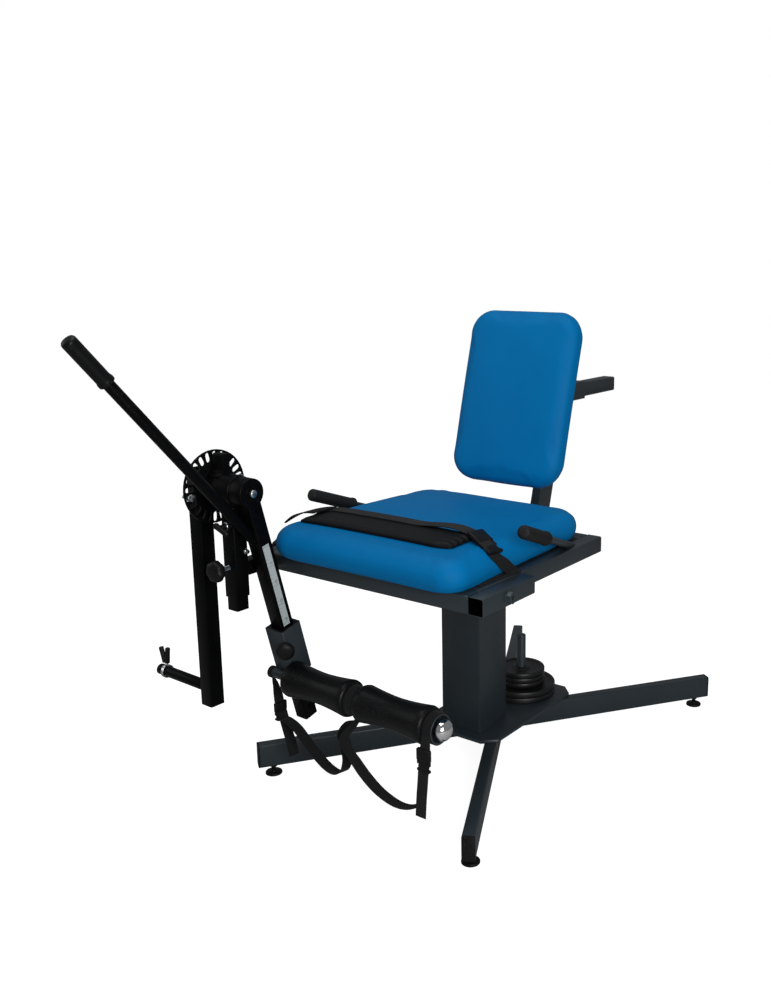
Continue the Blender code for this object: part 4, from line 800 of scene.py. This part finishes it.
def side_buckle(name, place, width, length, thick):
    """Side-release buckle: Z along the strap, X across it, Y out of it; each part in shares of the whole."""
    prong = (0.10, 0.66, 0.36)
    parts = []
    for size, spot, edge, steps in (
            ((1.0, 1.0, 0.50), (0.0, 0.0, 0.20), 0.28, 3), ((0.74, 0.72, 0.42), (0.0, 0.0, -0.20), 0.2, 3),
            ((0.96, 0.80, 0.12), (0.0, 0.0, -0.44), 0.2, 3), ((0.80, 0.34, 0.07), (0.0, 0.45, 0.37), 0.1, 2),
            ((0.80, 0.34, 0.07), (0.0, 0.45, 0.16), 0.1, 2), (prong, (-0.44, 0.0, -0.04), 0.18, 3),
            (prong, (0.44, 0.0, -0.04), 0.18, 3)):
        whole = (width * size[0], thick * size[1], length * size[2])
        offset = Matrix.Translation((width * spot[0], thick * spot[1], length * spot[2]))
        parts.append(box_piece("part", whole, place @ offset, thick * edge, steps))
    return joined(name, *parts)


STUB = LEVER_X - SLIDE_OUTER / 2
MIDDLE = (ROLLER_ENDS[0][0] + ROLLER_ENDS[0][1] + ROLLER_ENDS[1][0]) / 2
DRUM_MID = ROLLER_ENDS[1][0] + ROLLER_ENDS[1][1] + DRUM_LENGTH / 2 + 0.0006
HALF = 0.0135
THIN = 0.0017
drum = DRUM_RADIUS + 0.0003

sling = ankle_path(
    STUB, (-0.005, 0.0, 0.0145, 0, 0.009), (0.001, -0.002, 0.036, 60, 0.016), (0.0055, -0.004, 0.068, 90),
    (0.0075, -0.005, 0.104, 90), (0.0125, -0.004, 0.118, 90), (0.0305, -0.003, 0.114, 90),
    (0.0665, -0.004, 0.127, 85), (0.1115, -0.006, 0.166, 82), (0.1565, -0.008, 0.197, 80),
    (0.1905, -0.009, 0.205, 80), (0.2145, -0.010, 0.192, 80), (0.2245, -0.011, 0.160, 80),
    (0.2185, -0.012, 0.125, 70), (0.2095, -0.013, 0.100, 55, 0.024), (0.2330, -0.010, 0.068, 20, 0.018))
sling += ankle_path(MIDDLE, (-0.0075, -0.002, 0.050, 0, 0.012), (-HALF * 0.5, 0.0, drum + 0.001, 0, 0.012))
tail = ankle_path(STUB, (0.0095, -0.009, 0.100, 90), (0.0195, -0.012, 0.140, 90), (0.0365, -0.010, 0.178, 88),
                  (0.0455, -0.008, 0.205, 86))
strap_1 = joined("ankle_webbing_1", webbing("a", sling, THIN), webbing("b", tail, THIN),
                 loop_round("c", AXLE_RADIUS + 0.0003, STUB - 0.0105, STUB - 0.0005, THIN),
                 loop_round("d", drum, MIDDLE - HALF, MIDDLE - 0.0003, THIN))
dress(strap_1, WEBBING, "webbing", "shin_slide", "ankle_strap_1")
place = basis(ankle(STUB + 0.0075, -0.006, 0.096, 0)[0], Z_AXIS, Y_AXIS)
dress(side_buckle("ankle_buckle_1", place, 0.036, 0.046, 0.009), BLACK_PLASTIC, "black_plastic", "shin_slide")

sling = ankle_path(
    MIDDLE, (HALF * 0.5, 0.002, drum + 0.001, 0, 0.012), (-0.012, 0.008, 0.062, 5, 0.020),
    (-0.036, 0.011, 0.092, 12, 0.024), (-0.031, 0.012, 0.114, 22), (-0.006, 0.012, 0.138, 38),
    (0.027, 0.010, 0.170, 52), (0.063, 0.006, 0.197, 62), (0.103, 0.002, 0.213, 70), (0.136, 0.000, 0.214, 80),
    (0.170, 0.006, 0.198, 100), (0.200, 0.014, 0.172, 118), (0.207, 0.022, 0.143, 130))
sling += ankle_path(DRUM_MID, (-0.012, 0.028, 0.112, 158), (-0.008, 0.032, 0.080, 178), (-0.003, 0.0345, 0.045, 180),
                    (0.0, 0.0345, 0.003, 180, 0.022))
tail = ankle_path(DRUM_MID, (-0.006, 0.036, 0.074, 180), (-0.008, 0.037, 0.110, 180), (-0.012, 0.037, 0.150, 180),
                  (-0.018, 0.034, 0.198, 180))
half_drum = DRUM_LENGTH / 2 - 0.001
strap_2 = joined("ankle_webbing_2", webbing("a", sling, THIN), webbing("b", tail, THIN),
                 loop_round("c", drum, MIDDLE + 0.0003, MIDDLE + HALF, THIN),
                 loop_round("d", drum, DRUM_MID - half_drum, DRUM_MID + half_drum, THIN))
dress(strap_2, WEBBING, "webbing", "shin_slide", "ankle_strap_2")
place = basis(ankle(DRUM_MID - 0.005, 0.0360, 0.060, 0)[0], Z_AXIS, X_AXIS)
dress(side_buckle("ankle_buckle_2", place, 0.036, 0.054, 0.010), BLACK_PLASTIC, "black_plastic", "shin_slide")


# Shin rollers and the chrome cap on their axle

def roller(number):
    x, length = ROLLER_ENDS[number - 1]
    bore, full, waist = 0.0130, 0.043, 0.036
    profile = [(bore, x + 0.0015), (bore + 0.006, x), (full - 0.010, x), (full - 0.004, x + 0.0018),
               (full - 0.0012, x + 0.0050)]
    for step in range(17):
        t = step / 16
        radius = waist + (full - waist) * abs(2 * t - 1) ** 1.7
        profile.append((radius, x + 0.010 + (length - 0.020) * t))
    end = x + length
    profile += [(full - 0.0012, end - 0.0050), (full - 0.004, end - 0.0018), (full - 0.010, end),
                (bore + 0.006, end), (bore, end - 0.0015), (bore, x + 0.0015)]
    piece = lathe(f"roller_foam_{number}", profile, ALONG_X, 72, True, 50.0)
    dress(piece, BLACK_FOAM, "black_foam", f"roller_{number}", f"roller_{number}")


roller(1)
roller(2)

cap_x = ROLLER_ENDS[1][0] + ROLLER_ENDS[1][1] + DRUM_LENGTH + 0.0006
dome = [(0.0215, cap_x), (0.0232, cap_x + 0.001), (0.0235, cap_x + 0.003), (0.0235, cap_x + 0.008)]
for step in range(1, 10):
    angle = math.pi / 2 * step / 10
    dome.append((0.0235 * math.cos(angle), cap_x + 0.009 + 0.016 * math.sin(angle)))
dome.append((0.0008, cap_x + 0.0252))
dress(lathe("axle_cap", dome, ALONG_X, 64, False, 60.0), CHROME, "chrome", "shin_slide", "roller_cap")


# Grips

def long_grip(name, tip, along, rod, radius, length, end, material, slot, body, node, collar):
    """Moulded grip pushed over a rod's end, with a rounded nose and, if asked, a raised mouth."""
    nose = [(radius * 0.30, end), (radius * 0.62, end - 0.0006), (radius * 0.86, end - 0.0022),
            (radius * 0.97, end - 0.0048), (radius, end - 0.008)]
    mouth = -(length - end)
    body_part = [(radius, mouth + 0.020), (radius * 0.99, mouth + 0.012)]
    if collar:
        body_part = [(radius, mouth + 0.014), (radius * 1.04, mouth + 0.011), (radius * 1.10, mouth + 0.008)]
    tail_part = [(radius * (1.10 if collar else 0.99), mouth + 0.002), (radius * 0.94, mouth),
                 (rod + 0.0004, mouth), (rod + 0.0004, 0.0004), (0.001, 0.0004)]
    piece = lathe(name, nose + body_part + tail_part, basis(tip, along, X_AXIS), 48, False, 50.0)
    return dress(piece, material, slot, body, node)


GRIP_FOOT_X, GRIP_FOOT_Y = 0.262, -0.078
GRIP_TIP = (0.312, -0.3585, 0.7015)
for side, word in ((1, "left"), (-1, "right")):
    foot_point = at(side * GRIP_FOOT_X, GRIP_FOOT_Y, FRAME_TOP)
    tip = at(side * GRIP_TIP[0], GRIP_TIP[1], GRIP_TIP[2])
    along = (tip - foot_point).normalized()
    long_grip(f"side_grip_{word}", tip, along, 0.009, 0.0155, 0.140, 0.006, BLACK_RUBBER,
              "black_rubber", "frame", f"hand_grip_{word}", True)

HAND_ANGLE = math.radians(49.05)
hand_along = Vector((0.0, -math.cos(HAND_ANGLE), math.sin(HAND_ANGLE)))
hand_foot = PIVOT + X_AXIS * LEVER_X + DOWN * 0.1025 + OUT * (LEVER_TUBE / 2 + 0.0003)
long_grip("hand_lever_foam", hand_foot + hand_along * 0.611, hand_along, 0.0125, 0.016, 0.118, 0.006, BLACK_FOAM,
          "black_foam", "lever", "hand_lever_grip", True)


# Knobs

def star_knob(name, seat, direction, radius, standoff, thick, lobes, body, node, up=Z_AXIS):
    """Moulded knob with soft lobes, a domed face and a plain hub."""
    place = basis(seat, direction, up)
    levels = [(0.30, standoff - 0.006), (0.36, standoff - 0.002), (0.52, standoff + 0.02 * thick),
              (0.80, standoff + 0.10 * thick), (0.94, standoff + 0.22 * thick), (1.0, standoff + 0.42 * thick),
              (0.99, standoff + 0.62 * thick), (0.93, standoff + 0.80 * thick), (0.78, standoff + 0.93 * thick),
              (0.50, standoff + 0.985 * thick), (0.20, standoff + thick)]
    piece = lathe(name, [(radius * scale, z) for scale, z in levels], Matrix(), 84, False, 60.0)
    for vertex in piece.data.vertices:
        reach = math.hypot(vertex.co.x, vertex.co.y)
        wave = 0.5 - 0.5 * math.cos(lobes * math.atan2(vertex.co.y, vertex.co.x))
        pull = 1.0 - 0.10 * wave * min(max(reach / radius - 0.45, 0.0) / 0.4, 1.0)
        vertex.co.x *= pull
        vertex.co.y *= pull
    settle(piece, name, place, 60.0)
    return dress(piece, BLACK_PLASTIC, "black_plastic", body, node)


def threaded(name, radius, low, high, place, pitch=0.0010):
    """Screw shown as fine ridges round a rod."""
    profile = [(radius * 0.80, low)]
    turns = max(int((high - low) / pitch), 1)
    for turn in range(turns):
        z = low + pitch * turn
        profile += [(radius * 0.86, z + pitch * 0.08), (radius, z + pitch * 0.5), (radius * 0.86, z + pitch * 0.92)]
    profile.append((radius * 0.80, low + pitch * turns))
    return lathe(name, profile, place, 24, False, 20.0)


KNOBS = (("post_knob", (ARM_X, ARM_Y - 0.020, 0.587), -Y_AXIS, 0.0255, 0.026, 0.026),
         ("receiver_knob", (-0.3323, -0.431, 0.578), -X_AXIS, 0.0232, 0.0156, 0.0208),
         ("back_knob", (-0.025, 0.320, 0.908), -X_AXIS, 0.0261, 0.0182, 0.0208))
for node, spot, direction, radius, standoff, thick in KNOBS:
    star_knob(f"{node}_head", at(*spot), direction, radius, standoff, thick, 7, node, node)
    screw = threaded(f"{node}_screw", 0.0050, 0.0004, standoff - 0.0055, basis(at(*spot), direction, Z_AXIS))
    dress(screw, ZINC, "zinc", node)

corner = SLIDE_OUTER / 2 - 0.004 * (1 - math.sqrt(0.5))
ball_seat = PIVOT + X_AXIS * LEVER_X + DOWN * (SLIDE_START + 0.036) + (X_AXIS + OUT) * corner
ball = [(0.0058, 0.0004), (0.0060, 0.004), (0.0060, 0.0095), (0.0085, 0.0106), (0.0140, 0.0126), (0.0186, 0.0152),
        (0.0215, 0.0185), (0.0225, 0.0215), (0.0224, 0.0245), (0.0210, 0.0280), (0.0182, 0.0308), (0.0140, 0.0327),
        (0.0090, 0.0337), (0.0040, 0.0340), (0.0012, 0.0340)]
piece = lathe("slide_knob_head", ball, basis(ball_seat, (X_AXIS + OUT).normalized(), DOWN), 56, False, 50.0)
dress(piece, BLACK_PLASTIC, "black_plastic", "slide_knob", "slide_knob")


# Weight plates and levelling feet

def standing_on(node):
    """Place under the middle of a node."""
    low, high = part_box(node)
    return Matrix.Translation(((low.x + high.x) / 2, (low.y + high.y) / 2, low.z))


def plate(node, radius, thick):
    bore, hub, rim, web = 0.0135, 0.0235, 0.010, 0.0034
    top = thick - 0.0003
    half = [(bore + 0.0008, 0.0), (hub - 0.001, 0.0), (hub + 0.0006, 0.0008), (hub + 0.0024, web),
            (radius - rim - 0.0028, web), (radius - rim - 0.0004, 0.0009), (radius - rim + 0.0010, 0.0),
            (radius - 0.0034, 0.0), (radius - 0.0012, 0.0008), (radius - 0.0001, 0.0030)]
    profile = half + [(r, top - z) for r, z in reversed(half)]
    profile += [(bore, top - 0.0008), (bore, 0.0008), (bore + 0.0008, 0.0)]
    piece = lathe(f"{node}_casting", profile, standing_on(node), 96, True, 40.0)
    dress(piece, CAST_IRON, "cast_iron", node, node)


for number in (1, 2):
    plate(f"plate_large_{number}", 0.094, 0.0165)
for number in (1, 2, 3):
    plate(f"plate_small_{number}", 0.065, 0.0140)


def foot(number):
    node = f"levelling_foot_{number}"
    place = standing_on(node)
    disc = [(0.0195, 0.0), (0.0206, 0.0006), (0.0210, 0.0018), (0.0210, 0.0045), (0.0202, 0.0058),
            (0.0150, 0.0074), (0.0100, 0.0084), (0.0092, 0.0098), (0.0072, 0.0102), (0.0040, 0.0102)]
    dress(lathe(f"{node}_disc", disc, place, 56, False, 40.0), BLACK_PLASTIC, "black_plastic", f"foot_{number}", node)
    nut = hex_head("nut", 0.0150, 0.0187, 0.0246, place)
    stem = joined(f"{node}_screw", threaded("stem", 0.0050, 0.0098, 0.0188, place), nut)
    dress(stem, BLACK_PLASTIC, "black_plastic", f"foot_{number}")


for number in range(1, 5):
    foot(number)


# Spring collar on the loading bar: wire coil and two plastic handles
BAR = at(-0.438, ARM_Y, 0.2575)
collar_x = BAR.x - 0.183 + 0.023 + 0.0045
coil = []
for step in range(97):
    angle = math.radians(90.0 + 1080.0 * step / 96)
    coil.append(Vector((collar_x - 0.0042 + 0.0084 * step / 96, BAR.y + 0.0156 * math.cos(angle),
                        BAR.z + 0.0156 * math.sin(angle))))
spring = wire("a", coil, 0.0015)
grips = []
for lean in (-18.0, 7.0):
    angle = math.radians(lean)
    along = Vector((math.sin(angle), 0.0, math.cos(angle)))
    start = Vector((collar_x, BAR.y, BAR.z)) + along * 0.0155
    leg = wire("b", [start, start + along * 0.020], 0.0015)
    spring = joined("a", spring, leg)
    sleeve = [(0.0050, 0.008), (0.0058, 0.0086), (0.0061, 0.011), (0.0061, 0.042), (0.0063, 0.045),
              (0.0058, 0.0484), (0.0036, 0.0497), (0.0008, 0.0500)]
    grips.append(lathe("c", sleeve, basis(start - along * 0.001, along, X_AXIS), 28, False, 50.0))
dress(joined("collar_spring", spring), ZINC, "zinc", "spring_collar", "spring_collar")
dress(joined("collar_handles", *grips), BLACK_PLASTIC, "black_plastic", "spring_collar")


# Thigh strap across the seat

def seat_height(x, y):
    """Height of the seat's cover under a place on the strap."""
    hit, spot, _, _ = seat.ray_cast(at(x, y, 1.2), Vector((0.0, 0.0, -1.0)))
    return spot.z if hit else FRAME_TOP


STRAP_Y, STRAP_WIDTH, STRAP_THICK = -0.432, 0.104, 0.0115
STRAP_LEFT, STRAP_RIGHT = -0.228, 0.203
WEB_Y, WEB_WIDTH = -0.391, 0.036
web_top = seat_height(0.0, WEB_Y) + STRAP_THICK + 0.0030
rail = FRAME_TOP + 0.0014


def thigh(x, y, z, width=WEB_WIDTH, across=(0.0, 1.0, 0.0)):
    return (at(x, y, z), Vector(across), width)


def web(x, y, z, *rest):
    """Station whose place across the seat is counted from the webbing's middle."""
    return thigh(x, WEB_Y + y, z, *rest)


def thigh_pad():
    """Flat padded band with crisp hems, gathered where the webbing leaves it."""
    piece = cube((STRAP_RIGHT - STRAP_LEFT, STRAP_WIDTH, STRAP_THICK))
    start_edit()
    bpy.ops.mesh.subdivide(number_cuts=7)
    bpy.ops.mesh.subdivide(number_cuts=5)
    end_edit()
    middle = (STRAP_LEFT + STRAP_RIGHT) / 2
    half_x, half_y = (STRAP_RIGHT - STRAP_LEFT) / 2, STRAP_WIDTH / 2
    for vertex in piece.data.vertices:
        x, y, z = vertex.co
        hem = min(half_x - abs(x), half_y - abs(y))
        swell = 0.46 + 0.54 * min(max(hem / 0.009, 0.0), 1.0) ** 0.5
        gather = min(max((x - half_x + 0.045) / 0.045, 0.0), 1.0)
        y = y * (1.0 - 0.16 * gather ** 2) + 0.006 * gather ** 2
        ripple = 0.0022 * gather * math.sin(y * 2.0 * math.pi / 0.021)
        ground = seat_height(x + middle, y + STRAP_Y) + 0.0013
        vertex.co = (x + middle, y + STRAP_Y, ground + (z + STRAP_THICK / 2) * swell + max(ripple, 0.0)
                     + min(ripple, 0.0) * (z + STRAP_THICK / 2) / STRAP_THICK)
    refine(piece)
    settle(piece, "thigh_pad", Matrix.Translation(CROSSING), 60.0)
    dress(piece, STRAP_VINYL, "webbing", "frame", "thigh_strap")


thigh_pad()
flap = [thigh(*spot) for spot in (
    (-0.205, -0.425, 0.6915, 0.080), (-0.228, -0.431, 0.6895, 0.070), (-0.248, -0.444, 0.6855, 0.052),
    (-0.2625, -0.458, 0.6790, 0.036), (-0.2715, -0.472, 0.6710, 0.020), (-0.2770, -0.485, 0.6625, 0.006))]
dress(webbing("thigh_flap", flap, 0.0022, 8, 4), STRAP_VINYL, "webbing", "frame")

edge_top = seat_height(-0.262, WEB_Y)
left_run = [web(-0.277, -0.008, rail), web(-0.2735, -0.008, rail + 0.005), web(-0.2735, -0.008, rail + 0.024),
            web(-0.2725, -0.008, edge_top - 0.004), web(-0.266, -0.008, edge_top + 0.010),
            web(-0.247, -0.006, seat_height(-0.247, WEB_Y) + 0.009),
            web(-0.226, -0.003, seat_height(-0.226, WEB_Y) + 0.012)]
crown = [web(x, 0.0, seat_height(x, WEB_Y) + STRAP_THICK + 0.0030) for x in (-0.196, -0.14, -0.08, 0.0, 0.06)]
right_run = [web(0.110, 0.004, web_top + 0.004), web(0.155, 0.006, web_top + 0.005),
             web(0.195, 0.003, web_top - 0.0005), web(0.228, -0.004, web_top - 0.008),
             web(0.252, -0.012, web_top - 0.021), web(0.266, -0.008, web_top - 0.040),
             web(0.2725, 0.015, web_top - 0.0615, 0.034, (0.05, 0.94, 0.30)),
             web(0.2745, 0.040, web_top - 0.082, 0.032, (0.10, 0.95, 0.25)),
             web(0.2735, 0.055, rail + 0.004, 0.030, (0.20, 0.97, 0.10))]
folded = [thigh(*spot) for spot in (
    (0.2690, -0.322, rail + 0.0024, 0.026, (1.0, 0.1, 0.0)), (0.2665, -0.340, rail + 0.0004, 0.028, (1, 0, 0)),
    (0.2620, -0.380, rail, 0.028, (1, 0, 0)), (0.2585, -0.425, rail, 0.028, (1, 0, 0)),
    (0.2570, -0.462, rail + 0.0012, 0.026, (1, 0, 0)))]
piece = joined("thigh_web", webbing("a", left_run + crown + right_run, 0.0020, 8, 5),
               webbing("b", folded, 0.0020, 6, 4))
dress(piece, WEBBING, "webbing", "frame", "thigh_webbing")
buckle_start, buckle_end = right_run[2][0], right_run[5][0]
lie = (buckle_end - buckle_start).normalized()
spot = (buckle_start + buckle_end) / 2 - lie.cross(Y_AXIS).normalized() * -0.007
dress(side_buckle("thigh_buckle", basis(spot, -lie, Y_AXIS), 0.048, 0.078, 0.011), BLACK_PLASTIC,
      "black_plastic", "frame")


# Ruler strip on the lever's side

def ruler():
    """Enamelled strip with a 200 mm scale: ticks each centimetre, numbers each five."""
    width, start, length = 0.0190, 0.1285, 0.212
    middle = PIVOT + X_AXIS * (LEVER_RIGHT + 0.0001) + DOWN * (start + length / 2) + OUT * 0.0014
    place = basis(middle, X_AXIS, OUT)
    strip = box_piece("ruler_strip", (width, length, 0.0003), place, 0.0001, 1)
    dress(strip, RULER_WHITE, "zinc", "lever")
    marks = []
    for step in range(21):
        long = step % 5 == 0
        reach = width * (0.96 if long else 0.30)
        y = 0.005 + 0.010 * step - length / 2
        shift = 0.0 if long else (width - reach) / 2
        marks.append(box_piece("m", (reach, 0.0006 if long else 0.0004, 0.0001),
                               place @ Matrix.Translation((shift, y, 0.0002)), 0.00002, 1))
    for step in range(5, 21, 5):
        bpy.ops.object.text_add(location=(0.0, 0.0, 0.0))
        label = bpy.context.object
        label.data.body = str(step)
        label.data.size = 0.0095
        label.data.align_x = 'CENTER'
        label.data.align_y = 'CENTER'
        label.data.extrude = 0.00005
        bpy.ops.object.convert(target='MESH')
        label = bpy.context.object
        y = 0.005 + 0.010 * step - length / 2 - 0.0078
        turned_up = Matrix.Rotation(math.radians(-90.0), 4, 'Z')
        settle(label, "m", place @ Matrix.Translation((-width * 0.16, y, 0.0002)) @ turned_up)
        marks.append(label)
    dress(joined("ruler_marks", *marks), RULER_INK, "black_plastic", "lever")


ruler()


# Bolts

def bolt(name, spot, direction, flat, head, washer, body, up=Z_AXIS):
    place = basis(spot, direction, up)
    parts = [hex_head("h", flat, washer, washer + head, place)]
    if washer:
        ring_profile = [(0.002, 0.0), (flat * 0.72, 0.0), (flat * 0.74, washer * 0.5), (flat * 0.70, washer),
                        (0.002, washer)]
        parts.append(lathe("w", ring_profile, place, 40, False, 30.0))
    return dress(joined(name, *parts), ZINC, "zinc", body)


def plug(name, radius, depth, spot, direction, material, slot, body):
    """Short round end, sunk a little into what carries it."""
    piece = lathe(name, rounded(radius, -0.001, depth, min(radius, depth) * 0.2), basis(spot, direction, Z_AXIS), 32)
    return dress(piece, material, slot, body)


bolt("sleeve_bolt", at(ARM_X + SLEEVE_HALF, -0.6043, 0.6199), X_AXIS, 0.0090, 0.0060, 0.0010, "arm_carrier")
dome = [(0.0088, 0.0), (0.0090, 0.0006), (0.0090, 0.0040), (0.0087, 0.0054), (0.0070, 0.0064), (0.0036, 0.0070),
        (0.0006, 0.0071)]
head = basis(PIVOT + X_AXIS * (LEVER_RIGHT + HEAD_OUT), X_AXIS, Z_AXIS)
cap = lathe("lever_head_screw", dome, head, 40, False, 60.0)
dress(cap, ZINC, "zinc", "lever")
bolt("disc_pin", at(DISC_FACE, -0.5461, 0.7753), X_AXIS, 0.0100, 0.0060, 0.0010, "arm_post")
bush = [(0.0087, 0.0), (0.0102, 0.0), (0.0104, 0.0008), (0.0104, 0.0068), (0.0098, 0.0076), (0.0087, 0.0076),
        (0.0087, 0.0)]
bush = lathe("plunger_bush", bush, basis(at(ARM_X, ARM_Y - 0.020, 0.684), -Y_AXIS, Z_AXIS), 40, True)
dress(bush, ZINC, "zinc", "arm_carrier")
# Painted shade: thin black discs on the lever's side stand in for the shade inside its two holes
for number, drop in ((1, 0.0455), (2, 0.5743)):
    spot = PIVOT + X_AXIS * LEVER_RIGHT + DOWN * drop
    plug(f"lever_hole_shade_{number}", 0.0046, 0.0002, spot, X_AXIS, PAINTED_SHADE_BLACK, "black_plastic", "lever")
